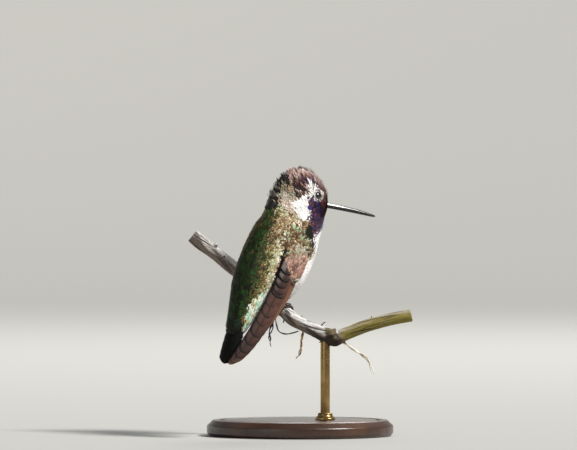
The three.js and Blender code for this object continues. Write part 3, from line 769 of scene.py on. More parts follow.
def vane_faces(columns):
    """Faces of one closed vane: an arched top, a flat underside, and a cap at each end."""
    grid = np.arange(VANE_ROWS * columns).reshape(VANE_ROWS, columns)
    last = columns - 1
    faces = []
    for near, far in zip(grid, grid[1:]):
        for column in range(last):
            faces.append([near[column], near[column + 1], far[column + 1], far[column]])
        faces.append([near[0], far[0], far[last], near[last]])
    faces.append([grid[0, 0], *grid[0, :0:-1]])
    faces.append(list(grid[-1]))
    return faces


def joined_mesh(name, vertices, faces, outward):
    """One mesh from many copies of the same faces; vertices are (copies, per copy, 3) in millimetres, and
    outward holds the body's normal at each of them, to which the vanes' own shading is eased. Returns the
    piece and the vertices of one copy at its corners."""
    copies, per_copy, _ = vertices.shape
    flat = np.concatenate([np.array(face) for face in faces])
    sizes = np.array([len(face) for face in faces])
    loops = (flat[None, :] + (np.arange(copies) * per_copy)[:, None]).ravel()
    starts = np.concatenate([[0], np.cumsum(np.tile(sizes, copies))[:-1]])
    mesh = bpy.data.meshes.new(name)
    mesh.vertices.add(copies * per_copy)
    mesh.vertices.foreach_set("co", (vertices * mm).ravel())
    mesh.loops.add(len(loops))
    mesh.loops.foreach_set("vertex_index", loops)
    mesh.polygons.add(len(starts))
    mesh.polygons.foreach_set("loop_start", starts)
    mesh.update(calc_edges=True)
    mesh.shade_smooth()
    own = read(mesh.corner_normals, "vector")
    face_normal = np.repeat(read(mesh.polygons, "normal"), np.tile(sizes, copies), axis=0)
    body = outward.reshape(-1, 3)[loops]
    toward = np.sign((face_normal * body).sum(1))[:, None]
    eased = unit(0.25 * own + 0.35 * face_normal + 0.55 * body * toward)
    mesh.normals_split_custom_set(eased.tolist())
    piece = bpy.data.objects.new(name, mesh)
    bpy.context.scene.collection.objects.link(piece)
    return piece, flat


def feather_material(name, metallic, roughness, sheen, specular, barb_depth):
    """Vanes with the tint of their tract, fine slanting barbs and a broken silky gloss."""
    material, surface = shade(name, Metallic=metallic, Specular_IOR_Level=specular, Sheen_Weight=sheen,
                              Sheen_Roughness=0.4)

    def sum_of(kind, first, second):
        return add_node(surface, "Math", {0: first, 1: second}, operation=kind).outputs[0]

    vane = add_node(surface, "UVMap", {}, uv_map="Vane").outputs["UV"]
    parted = add_node(surface, "SeparateXYZ", {"Vector": vane}).outputs
    across = sum_of("ABSOLUTE", sum_of("SUBTRACT", parted["X"], 0.5), 0)
    barbs = sum_of("SINE", sum_of("ADD", sum_of("MULTIPLY", parted["Y"], BARBS_ALONG),
                                  sum_of("MULTIPLY", across, BARBS_ACROSS)), 0)
    speckle = noise(surface, 3200, 3)
    lift = sum_of("ADD", sum_of("MULTIPLY", barbs, 0.10), sum_of("MULTIPLY", speckle, 0.7))
    colour = add_node(surface, "VectorMath", {0: own_tint(surface), "Scale": sum_of("ADD", lift, 0.62)},
                      operation="SCALE")
    feed(surface, "Base Color", colour.outputs["Vector"])
    feed(surface, "Roughness", sum_of("ADD", sum_of("MULTIPLY", speckle, 0.3), roughness - 0.15))
    bump_from(surface, barbs, 0.5, barb_depth)
    return material


def lay_tract(name, plumages, length, width, spacing, depth, curl, shape, material, slot,
              sway=0.12, columns=3, edge=0.6, cling=0.6):
    """One tract of the coat. Sizes are in millimetres; depth is a share of the coat's own, curl how far the
    tips stand off the body, sway how far feathers turn aside, edge where along the vane its tip colour
    begins, and cling the share of feathers tinted like their clump."""
    # A feather takes its markings from where its tip shows, not from where it is rooted.
    shown = root_place + root_flow * (length * SHOWN * near_bill)[:, None]
    names = plumage_at(shown, root_wander)
    allowed = np.isin(names, plumages) & rootable
    roots = scatter(allowed, spacing * near_bill)
    small = near_bill[roots]
    dice = chance.random((len(roots), 5))
    # Neighbours cling together in clumps that share their tint and their lift.
    clumps = scatter(allowed, np.full(ROOTS, CLUMP))
    clump_tree = tree_of(root_place[clumps])
    clump_of = np.array([clump_tree.find(point)[1] for point in root_place[roots]])
    clump_dice = chance.random((len(clumps), 2))[clump_of]
    clings = chance.random(len(roots)) < cling
    odd_dice = np.stack([np.where(clings, clump_dice[:, 0], dice[:, 4]), dice[:, 3]], 1)
    lift = 0.3 * dice[:, 3] ** 2 + 0.7 * clump_dice[:, 1] ** 3

    long = length * small * (0.86 + 0.28 * dice[:, 0])
    wide = width * small * (0.88 + 0.24 * dice[:, 1])
    turn = (dice[:, 2] - 0.5) * 2 * sway
    flow = root_flow[roots] + np.cross(root_normal[roots], root_flow[roots]) * turn[:, None]
    places, normals, directions = quill_lines(roots, long, unit(flow))
    column_place = np.linspace(-1, 1, columns)
    half_width, fall = SHAPES[shape]
    spread = half_width[:, None] * wide[:, None, None]
    height = -0.1 + (coat_depth(root_place[roots])[:, None] * depth + 0.1) * ROW_PLACE ** 0.8
    height = height + (curl * small * (0.2 + 2.2 * lift))[:, None] * ROW_PLACE ** 2.4
    arched = height[:, :, None] + VANE_ARCH * spread * (1 - column_place ** 2)
    ragged = fall * np.abs(column_place) ** 1.5 + (0.10 * np.sin(column_place * 9) if shape == "downy" else 0)
    along = np.outer(ROW_FALL, -ragged) * long[:, None, None]
    vertices = places[:, :, None]
    for way, reach in ((np.cross(directions, normals), spread * column_place / 2), (normals, arched),
                       (directions, along)):
        vertices = vertices + way[:, :, None] * reach[..., None]
    piece, flat = joined_mesh(name, vertices.reshape(len(roots), -1, 3), vane_faces(columns),
                              np.repeat(normals, columns, axis=1))

    ground, tip = plumage_colours(names[roots], odd_dice, slow_field(root_place[roots]))
    toward_tip = smooth(ROW_PLACE, edge - 0.12, edge + 0.3)[:, None] + 0.2 * column_place ** 2
    tints = blend(ground[:, None], tip[:, None], np.clip(toward_tip, 0, 1).ravel())
    tint_attribute(piece, tints.reshape(-1, 3))
    vane_uv = np.stack(np.meshgrid((column_place + 1) / 2, ROW_PLACE), -1).reshape(-1, 2)[flat]
    for uv_name, uv in (("Vane", np.tile(vane_uv, (len(roots), 1))),
                        ("OFBake", root_uv[roots][:, None] + (vane_uv - 0.5) * BAKE_PATCH)):
        piece.data.uv_layers.new(name=uv_name).data.foreach_set("uv", uv.ravel())
    finish_piece(piece, material)


matt_feather = feather_material("soft_feather", 0.0, 0.7, 0.15, 0.35, 0.02)
gloss_feather = feather_material("glossy_feather", 0.25, 0.5, 0.0, 0.25, 0.02)
jewel_feather = feather_material("jewel_feather", 0.45, 0.42, 0.0, 0.3, 0.02)

# Each tract: plumages; length, width, spacing, depth, curl; outline, material, slot, and what else differs.
TRACTS = {
    "face": (["lores"], (1.4, 0.6, 0.32, 0.9, 0.10), "round", matt_feather, "crown",
             {"sway": 0.2, "edge": 0.7}),
    "crown": (["crown"], (2.5, 0.84, 0.56, 0.60, 0.56), "pointed", matt_feather, "crown",
              {"sway": 0.2, "edge": 0.82, "cling": 0.95}),
    "crest": (["crest"], (2.9, 0.56, 0.46, 0.50, 0.74), "pointed", matt_feather, "crown",
              {"sway": 0.3, "edge": 0.80, "cling": 0.8}),
    "nape": (["nape"], (3.2, 0.85, 0.60, 0.60, 0.80), "pointed", matt_feather, "crown",
             {"sway": 0.2, "edge": 0.88}),
    "neck": (["neck_side", "pinkish"], (1.8, 0.62, 0.36, 1.0, 0.14), "round", matt_feather, "neck",
             {"sway": 0.3, "edge": 0.78}),
    "white": (["white"], (2.0, 0.55, 0.33, 1.0, 0.04), "downy", matt_feather, "neck", {"sway": 0.2}),
    "gorget": (["gorget", "gorget_front"], (2.0, 1.15, 0.60, 1.0, 0.16), "round", jewel_feather, "crown",
               {"columns": 5, "edge": 0.82}),
    # Near-black feathers as painted shadow under the gorget's corner and in the groove beside the wing.
    "notch": (["notch", "gap"], (1.8, 0.7, 0.38, 1.0, 0.0), "round", gloss_feather, "body", {}),
    "breast": (["breast"], (2.6, 0.62, 0.38, 1.0, 0.06), "downy", matt_feather, "neck", {"sway": 0.2}),
    "flank": (["flank", "streak"], (2.2, 0.60, 0.36, 1.0, 0.08), "downy", matt_feather, "neck",
              {"sway": 0.2}),
    "back": (["back_olive", "back", "back_pale", "scapular"], (2.0, 0.68, 0.36, 1.0, 0.08), "round",
             gloss_feather, "body", {"sway": 0.26, "edge": 0.78}),
    "back_middle": (["back_middle"], (2.3, 0.80, 0.42, 1.0, 0.04), "round", gloss_feather, "body",
                    {"sway": 0.16, "edge": 0.7}),
    "tail_coverts": (["tail_covert"], (3.8, 1.4, 0.62, 1.5, 0.0), "round", gloss_feather, "tail",
                     {"sway": 0.08, "columns": 5}),
    "shoulder": (["shoulder", "wrist"], (2.0, 0.92, 0.46, 1.0, 0.08), "round", gloss_feather, "covert",
                 {"sway": 0.3, "columns": 5, "edge": 0.76}),
    "coverts": (["covert"], (4.2, 1.0, 0.56, 1.0, 0.05), "round", matt_feather, "covert",
                {"sway": 0.06, "columns": 5, "edge": 0.84}),
    "thigh": (["thigh"], (1.6, 0.5, 0.32, 1.0, 0.1), "downy", matt_feather, "thigh", {}),
}
for name, (plumages, sizes, shape, material, slot, others) in TRACTS.items():
    lay_tract("coat_" + name, plumages, *sizes, shape, material, slot + "_feather", **others)


# ---- Eyes and lids ----
# A dark wet eyeball, a little bulged at the cornea, set deep in the side of the head, with a rim of bare
# grey skin round the opening. The eyes look forwards of square to the head, as a nectar feeder's do.

EYE_RADIUS = 1.62
CORNEA_BULGE = 0.05
EYE_DEPTH = 0.86  # the eyeball's depth as a share of its width
EYE_FORWARD = 21  # degrees forwards of square to the head
LID_OPENING = 1.04
LID_THICKNESS = 0.12
LID_SET = 1.12  # how far out from the eye's middle the lids stand


def face_outward(piece):
    """Turns a closed piece's faces outwards and shades it smoothly."""
    edit_whole(piece, bpy.ops.mesh.normals_make_consistent, inside=False)
    bpy.ops.object.shade_smooth()


def lofted(name, around, along, section):
    """A ball drawn out along a line, so that both ends are closed. section(t, angle) gives the places in
    millimetres of points a share t of the way along and an angle round. Its UV map counts both as shares."""
    bpy.ops.object.select_all(action="DESELECT")
    bpy.ops.mesh.primitive_uv_sphere_add(segments=around, ring_count=along, radius=1)
    piece = bpy.context.object
    piece.name = name
    ball = points_of(piece)[0] * mm
    share = np.arccos(np.clip(-ball[:, 2], -1, 1)) / np.pi
    set_points(piece, section(share, np.arctan2(ball[:, 1], ball[:, 0])))
    face_outward(piece)
    return piece


def ramp(surface, factor, *stops):
    """A colour ramp with stops of (place, linear colour or grey)."""
    scale = add_node(surface, "ValToRGB", {"Fac": factor})
    while len(scale.color_ramp.elements) < len(stops):
        scale.color_ramp.elements.new(0.5)
    for element, (position, colour) in zip(scale.color_ramp.elements, stops):
        element.position = position
        element.color = (*np.broadcast_to(colour, 3), 1)
    return scale.outputs["Color"]


eye_material, surface = shade("wet_eye", Roughness=0.2, IOR=1.5, Coat_Weight=0.6, Coat_Roughness=0.22)
veins = noise(surface, 5200, 3)
feed(surface, "Base Color", mixed(surface, "MULTIPLY", 0.6, own_tint(surface), veins))

lid_material, surface = shade("bare_lid_skin", Roughness=0.6)
folds = noise(surface, 4200)
creased = ramp(surface, folds, (0.3, (0.35, 0.33, 0.33)), (0.7, 1.0))
feed(surface, "Base Color", mixed(surface, "MULTIPLY", 1.0, own_tint(surface), creased))
bump_from(surface, folds, 0.6, 0.03)

for side, sign in SIDES.items():
    turn = math.radians(EYE_FORWARD)
    look = HEAD_AHEAD * math.sin(turn) + HEAD_RIGHT * (sign * math.cos(turn))
    level = np.array([-look[1], look[0], 0])
    upward = np.cross(look, level)

    def eyeball(t, angle):
        off = np.pi * (1 - t)
        bulge = 1 + CORNEA_BULGE * np.exp(-(off / 0.5) ** 2)
        spread = level * np.cos(angle)[:, None] + upward * np.sin(angle)[:, None]
        ball = look * (np.cos(off) * EYE_DEPTH)[:, None] + spread * np.sin(off)[:, None]
        return EYES[side] + ball * (EYE_RADIUS * bulge)[:, None]

    eye = lofted("eye_ball_" + side, 48, 48, eyeball)
    place, _ = points_of(eye)
    off_axis = np.degrees(np.arccos(np.clip(unit(place - EYES[side]) @ look, -1, 1)))
    iris = smooth(off_axis, 20, 24) * (1 - smooth(off_axis, 40, 52))
    tint_attribute(eye, blend(tone(2, 2, 3), tone(18, 11, 9), iris))
    finish_piece(eye, eye_material)
    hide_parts("eye_" + side)

    bpy.ops.object.select_all(action="DESELECT")
    bpy.ops.mesh.primitive_torus_add(major_segments=48, minor_segments=10, major_radius=LID_OPENING,
                                     minor_radius=LID_THICKNESS)
    rim = bpy.context.object
    rim.name = "eyelids_" + side
    ring = points_of(rim)[0] * mm
    turn = np.arctan2(ring[:, 1], ring[:, 0])
    reach = np.linalg.norm(ring[:, :2], axis=1)
    fold = 1 + 0.25 * np.sin(turn * 7 + 0.6) ** 2
    # The opening is a little longer than it is high, and its lower edge is the palest.
    spread = level * (np.cos(turn) * 1.07)[:, None] + upward * (np.sin(turn) * 0.97)[:, None]
    tint_attribute(rim, blend(tone(26, 21, 22), tone(140, 128, 124), smooth(-np.sin(turn), 0.1, 0.6)))
    set_points(rim, EYES[side] + spread * (LID_OPENING + (reach - LID_OPENING) * fold)[:, None]
               + look * (LID_SET + ring[:, 2] * fold)[:, None])
    face_outward(rim)
    finish_piece(rim, lid_material)


# ---- Bill ----
# Two slender horny sheaths that close on one another: a ridged upper one with a nostril groove at each side
# of its root, and a shallower lower one. Black keratin, polished by use, with faint growth lines along it.

BILL_LENGTH = 17.1
BILL_RADIUS = 1.02
BILL_DIP = math.radians(11.4)
bill_ahead = HEAD_AHEAD * math.cos(BILL_DIP) - np.array([0, 0, math.sin(BILL_DIP)])
bill_up = np.cross(HEAD_RIGHT, bill_ahead)
bill_root = np.array([*(HIP + BODY_AHEAD[:2] * 18.6), 73.65]) + HEAD_AHEAD * 9.9


def bowed(first, middle, last, t):
    """Shares t of the way on a curve from the first place to the last, drawn towards the middle one."""
    return np.stack([(1 - t) ** 2, 2 * t * (1 - t), t * t], 1) @ np.array([first, middle, last])


def bill_line(t):
    """The bill's middle: a slight arch from inside the face to the tip."""
    ahead = bowed(-3.0, BILL_LENGTH * 0.5, BILL_LENGTH, t)
    lift = bowed(-0.2, 0.3, -0.4, t)
    return bill_root + bill_ahead * ahead[:, None] + bill_up * lift[:, None]


def mandible(name, way, tip, depth):
    """One half of the bill; way is +1 for the upper half, tip its length as a share, depth its height."""
    def section(t, angle):
        reach = t * tip
        radius = BILL_RADIUS - 0.30 * reach - 0.42 * reach ** 4
        cap = np.sqrt(np.clip(1 - (np.clip(t - 0.94, 0, 1) / 0.06) ** 2, 0.0, 1))
        cap *= np.sin(np.pi * np.clip(t / 0.04, 0, 1) / 2)
        across = np.cos(angle)
        up = np.sin(angle)
        # A groove for the nostril lies along each side, deepest at the root.
        groove = 0.14 * np.exp(-((np.abs(up) - 0.42) / 0.16) ** 2) * (1 - smooth(reach, 0.18, 0.5))
        height = np.where(up > 0, depth * up * (1 - groove), 0.06 * up)
        wide = radius * cap * (0.92 - 0.10 * np.clip(up, 0, 1)) * (1 - groove * 0.4)
        place = bill_line(reach) + HEAD_RIGHT * (across * wide)[:, None]
        return place + bill_up * (way * (height * radius * cap + 0.03) - 0.10)[:, None]
    return lofted(name, 40, 120, section)


horn_material, surface = shade("polished_horn")
growth = noise(surface, 900, 5, (0.25, 1.6, 1.6))
feed(surface, "Base Color", ramp(surface, growth, (0.3, tone(12, 11, 13)), (0.75, tone(40, 36, 38))))
feed(surface, "Roughness", ramp(surface, growth, (0.2, 0.16), (0.8, 0.30)))
bump_from(surface, growth, 0.25, 0.02)
for name, way, tip, depth in (("upper", 1, 1.0, 1.0), ("lower", -1, 0.985, 0.86)):
    half = mandible("bill_" + name + "_sheath", way, tip, depth)
    finish_piece(half, horn_material)
    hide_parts("bill_" + name)


# ---- Wings ----
# The folded wings: ten primaries whose tips step down the upper edge, the longest and straightest along the
# leading edge, and four short secondaries over them. Each is one thin cambered vane on a ridged shaft.

# Knots of the folded wing from wrist to tip: forward of the hip, out from the middle plane, and height.
WING_KNOTS = [[7.0, 10.3, 61.0], [4.6, 10.5, 56.0], [0.6, 9.9, 49.0], [-3.6, 8.4, 41.0],
              [-8.9, 6.8, 33.4], [-14.2, 5.0, 27.7], [-18.9, 2.9, 23.9]]
KNOT_STEPS = 40  # places on a smooth line between one knot and the next
WING_HALF_WIDTH = 4.3
FLIGHT_WIDTH = 5.2
FLIGHT_THICKNESS = 0.09
# How much further forward the left wing is folded, and how much nearer the middle plane at each knot.
LEFT_WING_FORWARD = 1.5
LEFT_WING_TUCK = np.array([0, 0, 0, 0.1, 0.5, 1.2, 2.0])


def smooth_line(knots, even=True):
    """Places on a smooth line through the knots, evenly spaced or with as many steps between any two."""
    knots = np.array(knots, float)
    padded = np.vstack([2 * knots[0] - knots[1], knots, 2 * knots[-1] - knots[-2]])
    s = np.linspace(0, 1, KNOT_STEPS, endpoint=False)[:, None]
    spans = [b + 0.5 * s * ((c - a) + s * (2 * a - 5 * b + 4 * c - d) + s ** 2 * (3 * b - a - 3 * c + d))
             for a, b, c, d in zip(padded, padded[1:], padded[2:], padded[3:])]
    line = np.vstack([*spans, knots[-1:]])
    if not even:
        return line
    reach = np.concatenate([[0], np.cumsum(np.linalg.norm(np.diff(line, axis=0), axis=1))])
    return np.stack([np.interp(np.linspace(0, reach[-1], len(line)), reach, column) for column in line.T], 1)


def along(line, t):
    """Places on a line at shares t of its points."""
    return np.stack([np.interp(t, np.linspace(0, 1, len(line)), column) for column in line.T], -1)


def body_point(forward, right, height):
    """A place forward of the hip, right of the middle plane and above the floor."""
    place = BODY_AHEAD * forward + BODY_RIGHT * right
    return np.array([*(HIP + place[:2]), height])


right_knots = np.array(WING_KNOTS)
left_knots = right_knots + [LEFT_WING_FORWARD, 0, 0]
left_knots[:, 1] = LEFT_WING_TUCK - left_knots[:, 1]
WING_LINES = {1: smooth_line([body_point(*knot) for knot in right_knots]),
              -1: smooth_line([body_point(*knot) for knot in left_knots])}


def wing_facing(sign, t):
    """The way the wing's outer face looks, turning from the flank towards the back."""
    turn = np.radians(18 + 24 * t)
    facing = BODY_RIGHT * (sign * np.cos(turn)) - BODY_AHEAD * (np.sin(turn) * 0.82)
    facing[2] = np.sin(turn) * 0.57
    return unit(facing)


def wing_point(sign, t, across, lift):
    """A place on the folded wing, across from its upper edge (-1) to its leading edge (+1)."""
    facing = wing_facing(sign, t)
    line = WING_LINES[sign]
    ahead = along(line, min(1, t + 0.02)) - along(line, max(0, t - 0.02))
    edge = unit(np.cross(facing, ahead)) * sign
    half = WING_HALF_WIDTH * (1 - t) ** 0.2
    return along(line, t) + edge * (across * half) + facing * lift


VANE_STEPS = 30
VANE_RIBS = 12
# The sharp margin and the wider band inside it are painted dark, partly the edge's own tone and partly
# painted shadow where the tips step over one another.
EDGE_WIDTH = 0.95  # width of the sharp margin of a flight feather, within a soft one of EDGE_SHADE_REACH
EDGE_SHADE_REACH = 3.2


def round_ends(t, start=0.08, end=0.08):
    """0 at both ends, 1 between the two caps."""
    first, last = np.minimum(1, t / start), np.minimum(1, (1 - t) / end)
    return np.sqrt(first * (2 - first)) * np.sqrt(np.maximum(last * (2 - last), 0))


def flight_feather(root, belly, tip, facing, width, lead, camber, colours, margin_side):
    """One flight feather as a thin sheet: a curve from root to tip, with a ridged shaft nearer its leading
    edge (lead from -1 to 1), arched across by camber. colours are the vane's, its margin's and its shaft's;
    the margin runs round the tip and up the edge on the side of margin_side."""
    bpy.ops.object.select_all(action="DESELECT")
    bpy.ops.mesh.primitive_grid_add(x_subdivisions=VANE_RIBS, y_subdivisions=VANE_STEPS, size=2)
    sheet = bpy.context.object
    grid = points_of(sheet)[0] * mm
    across = np.sign(grid[:, 0]) * np.abs(grid[:, 0]) ** 1.5
    t = 1 - ((1 - grid[:, 1]) / 2) ** 1.6
    ahead = unit(np.stack([t - 1, 1 - 2 * t, t], 1) @ np.stack([root, belly, tip]))
    side = unit(np.cross(ahead, facing))
    front = np.cross(side, ahead)
    half = width / 2 * np.minimum(1, 0.45 + 1.7 * t) * np.maximum(round_ends(t, end=0.11), 0.02)
    reach = across * (1 - lead * 0.45 * np.sign(across)) * half
    place = bowed(root, belly, tip, t) + side * reach[:, None]
    ridge = 0.10 * np.exp(-(across / 0.07) ** 2) * (1 - 0.7 * t)
    ripple = 0.035 * np.sin(t * 37 + across * 5) * np.abs(across)
    place = place + front * (camber * width * (0.25 - across ** 2 / 4) + ridge + ripple)[:, None]
    set_points(sheet, place)
    sheet.data.uv_layers[0].name = "Vane"
    vane_colour, margin_and_shadow_colour, shaft_colour = colours
    from_tip = (1 - t) * np.linalg.norm(tip - root) * (1 - 0.3 * np.abs(across))
    from_edge = np.minimum(half * (1 - across * margin_side), from_tip)
    # The margin and the wider band inside it: partly the edge's own dark tone, partly painted shadow.
    sharp, soft = 1 - smooth(from_edge, 0.25, EDGE_WIDTH), 1 - smooth(from_edge, 0.3, EDGE_SHADE_REACH)
    tints = blend(vane_colour, margin_and_shadow_colour, 0.62 * sharp + 0.37 * soft)
    tints = blend(tints, shaft_colour, np.exp(-(across / 0.10) ** 2))
    shadowed = 1.06 - 0.2 * t - 0.46 * smooth(-place[:, 2], -39, -29)  # darker low down, by the tail
    tint_attribute(sheet, tints * shadowed[:, None])
    return sheet


def finish_sheets(name, sheets, thickness, material):
    """Joins thin sheets, gives them their thickness and their finish."""
    piece = joined(name, sheets)
    apply_modifier(piece, "SOLIDIFY", thickness=thickness * mm, offset=0)
    bpy.ops.object.shade_smooth()
    finish_piece(piece, material)
    return piece


def wing_feather(sign, root, belly, tip, *shape):
    """One feather of the folded wing, its root, belly and tip given as for wing_point."""
    places = [wing_point(sign, *knot) for knot in (root, belly, tip)]
    return flight_feather(*places, wing_facing(sign, tip[0] / 2), *shape)


flight_material = feather_material("flight_feather", 0.0, 0.42, 0.05, 0.4, 0.03)
PRIMARIES = 10
SECONDARIES = 4
# Tones of the vane, its margin and its shaft. The near-black margin is partly the feathers' dark edge and
# partly painted shadow along the stepped tips.
FLIGHT_TONES = np.array([tone(92, 59, 50), tone(2, 1, 1), tone(54, 34, 28)])
LEAD_TONES = np.array([tone(62, 39, 28), tone(116, 77, 54), tone(42, 27, 21)])
for side, sign in SIDES.items():
    primaries = []
    for number in range(PRIMARIES):
        share = number / (PRIMARIES - 1)
        end = 0.41 + 0.59 * (1 - (1 - share) ** 1.4) + 0.03 * (chance.random() - 0.5) * (1 - share)
        stray = 0.22 * (chance.random() - 0.5) * (1 - share)
        drift = 0.76 + 0.34 * chance.random()
        lift = 0.80 - 0.15 * number
        across = -0.42 + 1.06 * share ** 3.5
        leading = number >= PRIMARIES - 2  # only the leading two have a pale outer edge
        primaries.append(wing_feather(
            sign, (0.10, across, lift), ((0.10 + end) / 2, across + 0.12, lift + 0.1),
            (end, -0.28 + stray + 0.50 * share ** 3, lift), FLIGHT_WIDTH - 2.4 * share ** 4, 0.5 * share,
            0.10, (LEAD_TONES if leading else FLIGHT_TONES) * drift, -sign if leading else sign))
    secondaries = []
    for number in range(SECONDARIES):
        share = number / (SECONDARIES - 1)
        end = 0.25 + 0.15 * share
        across = -0.46 + 0.16 * share
        lift = 1.40 - 0.14 * number
        stray = 0.16 * (chance.random() - 0.5)
        drift = 0.8 + 0.4 * chance.random()
        secondaries.append(wing_feather(
            sign, (0.05, across * 0.8, -0.4), (end / 2, across + 0.05, lift * 0.6),
            (end, across - 0.06 + stray, lift), FLIGHT_WIDTH - 0.6, 0.1,
            0.12, FLIGHT_TONES * drift * 0.55, sign))
    wing = "wing_" + side
    fan = finish_sheets(wing + "_primaries", primaries, FLIGHT_THICKNESS, flight_material)
    finish_sheets(wing + "_secondaries", secondaries, FLIGHT_THICKNESS, flight_material)
    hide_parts(wing + "_flight")


# ---- Tail ----
# Ten stiff rounded tail feathers, folded into a narrow fan behind the perch: black with a green gloss, the
# middle pair uppermost and greenest. Their roots lie under the long tail coverts.

tail_material = feather_material("tail_feather", 0.1, 0.6, 0.0, 0.12, 0.03)
TAIL_FEATHERS = 10
TAIL_TOP = 38.5
TAIL_LENGTH = 14.8
TAIL_WIDTH = 3.0
TAIL_THICKNESS = 0.12
tail_sheets = []
for number in range(TAIL_FEATHERS):
    offset = 2 * number / (TAIL_FEATHERS - 1) - 1
    rank = abs(offset)
    depth = 0.55 * rank
    root = body_point(-11.6 + depth, offset * 1.5, TAIL_TOP)
    belly = body_point(-15.1 + depth, offset * 2.4, 30.5)
    tip = body_point(-17.3 + depth * 1.6, offset * 2.2, TAIL_TOP - TAIL_LENGTH * (1 - 0.09 * rank ** 2))
    facing = BODY_AHEAD * -0.95 + BODY_RIGHT * (offset * 0.35) + np.array([0, 0, 0.3])
    green = blend(tone(14, 20, 10), tone(9, 8, 7), rank)
    tail_sheets.append(flight_feather(root, belly, tip, unit(facing), TAIL_WIDTH, 0.25 * np.sign(offset),
                                      0.08, (green, tone(20, 14, 12), tone(10, 8, 8)), 0))
tail = finish_sheets("tail_feathers", tail_sheets, TAIL_THICKNESS, tail_material)
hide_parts("tail")


# ---- Feet ----
# Tiny perching feet: three toes forwards and one back round the branch, each a row of horny scutes over
# plump pads, and long curved black claws. The bare shank is the end of the skin's own leg.

# Knots of the branch's middle line from its upper cut end to its far one.
PERCH_KNOTS = [[-34.5, 9.2, 63.8], [-28, 9.2, 58.6], [-20.6, 8.6, 52.8], [-12.8, 6.2, 46.2],
               [-5.4, 0.9, 39.9], [-1.8, -1.3, 36.9], [3.4, -2.9, 34.3], [10.6, -4.4, 31.5],
               [14.4, -4.8, 32.5], [20.0, -5.0, 34.8], [27.5, -5.2, 36.9], [35.5, -5.2, 38.5]]
PERCH_RADIUS = 2.3
KNOB_RISE = 0.75
KNOB_PLACE = 0.635  # share of the way along the branch
perch_line = smooth_line(PERCH_KNOTS, even=False)
FOOT_PLACES = {"right": 0.372, "left": 0.338}
# Each toe: how far aside it starts, in millimetres, and whether it goes forwards or back.
TOES = {"inner": (-1.05, 1), "middle": (0, 1), "outer": (1.05, 1), "hind": (0, -1)}
TOE_END = 80  # degrees round from the top of the perch
CLAW_END = 128
TOE_SCUTES = 13
TOE_RADIUS = 0.38
CLAW_RADIUS = 0.26
PAD_RADIUS = 0.66


def perch_radius(t):
    """The branch's own radius, with its knob."""
    knob = np.exp(-((t - KNOB_PLACE) / 0.045) ** 2)
    return PERCH_RADIUS - 0.25 * t + KNOB_RISE * knob + 0.12 * np.sin(t * 47) * (1 - t)


def frames_on(line, t):
    """Middle, side, front and way ahead of cross-sections of a line, the front as near upward as can be."""
    ahead = unit(along(line, np.minimum(1, t + 0.01)) - along(line, np.maximum(0, t - 0.01)))
    side = unit(np.cross(ahead, np.array([0.0, 0.0, 1.0])))
    return along(line, t), side, np.cross(side, ahead), ahead


def grip_line(t, shift, way, start, end, stand):
    """A line round the perch, from one angle to another, standing clear of it."""
    middle, _, _, ahead = frames_on(perch_line, np.array(t))
    forward = unit(BODY_AHEAD - ahead * (BODY_AHEAD @ ahead))
    up = np.cross(ahead, forward)
    up = up * np.sign(up[2])
    share = np.linspace(0, 1, 9)[:, None]
    angle = start + (end - start) * share
    turn = np.radians(angle)
    out = perch_radius(t) + stand + 0.16 * np.sin(share * np.pi * 3) ** 2
    return smooth_line(middle + ahead * (shift * (0.45 + 0.75 * angle / CLAW_END))
                       + up * (np.cos(turn) * out) + forward * (way * np.sin(turn) * out))


def round_line(line, t, angle, size):
    """Places round a line at shares t of its points, at angles and distances from it."""
    middle, side, front, _ = frames_on(line, t)
    return middle + side * (np.cos(angle) * size)[:, None] + front * (np.sin(angle) * size)[:, None]


def limb(name, line, around, along_steps, radius):
    """A round tube along a line with closed round ends; radius(t) is in millimetres."""
    return lofted(name, around, along_steps, lambda t, angle: round_line(line, t, angle, radius(t)))


scale_material, surface = shade("horny_scutes", Roughness=0.45)
scutes = noise(surface, 2600)
feed(surface, "Base Color", ramp(surface, scutes, (0.3, tone(24, 19, 20)), (0.7, tone(66, 54, 54))))
bump_from(surface, scutes, 0.5, 0.03)

for side, t in FOOT_PLACES.items():
    toes = []
    claws = []
    for shift, way in TOES.values():
        line = grip_line(t, shift, way, -6, TOE_END, TOE_RADIUS)
        toes.append(limb("toe", line, 16, 60, lambda s: TOE_RADIUS * round_ends(s) * (
            0.90 + 0.10 * np.abs(np.sin(s * np.pi * TOE_SCUTES)) ** 0.5 + 0.10 * np.sin(s * np.pi * 3) ** 2)))
        line = grip_line(t, shift, way, TOE_END - 6, CLAW_END, CLAW_RADIUS * 0.9)
        claws.append(limb("claw", line, 12, 30, lambda s: CLAW_RADIUS * round_ends(s, 0.12, 0.04) * (
            1 - 0.8 * s ** 1.3)))
    line = grip_line(t, 0, 1, -30, 26, TOE_RADIUS + 0.2)
    toes.append(limb("pad", line, 20, 24, lambda s: PAD_RADIUS * np.sin(np.pi * s) ** 0.5))
    piece = joined("toes_" + side, toes)
    finish_piece(piece, scale_material)
    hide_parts("foot_" + side)
    piece = joined("claws_" + side, claws)
    finish_piece(piece, horn_material)
    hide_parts(*["claw_" + side + "_" + toe for toe in TOES])


# ---- Perch ----
# A dead twig, silver above and olive brown below, partly its own weathering and partly painted light above
# and painted shade below, with long drying cracks, lifted strips of grey bark, one dark knob where a side
# branch came away, and two fresh-cut ends that show the rings.

PERCH_AROUND = 112
PERCH_ALONG = 640
CRACKS = 70
CRACK_DEPTH = 0.22
CUT_SHARE = 0.02  # share of the lofted ball that each flat cut end takes
CUT_REACH = 0.004  # share of the twig's length over which its cut edge is eased
crack_dice = np.random.default_rng(11).random((CRACKS, 5))


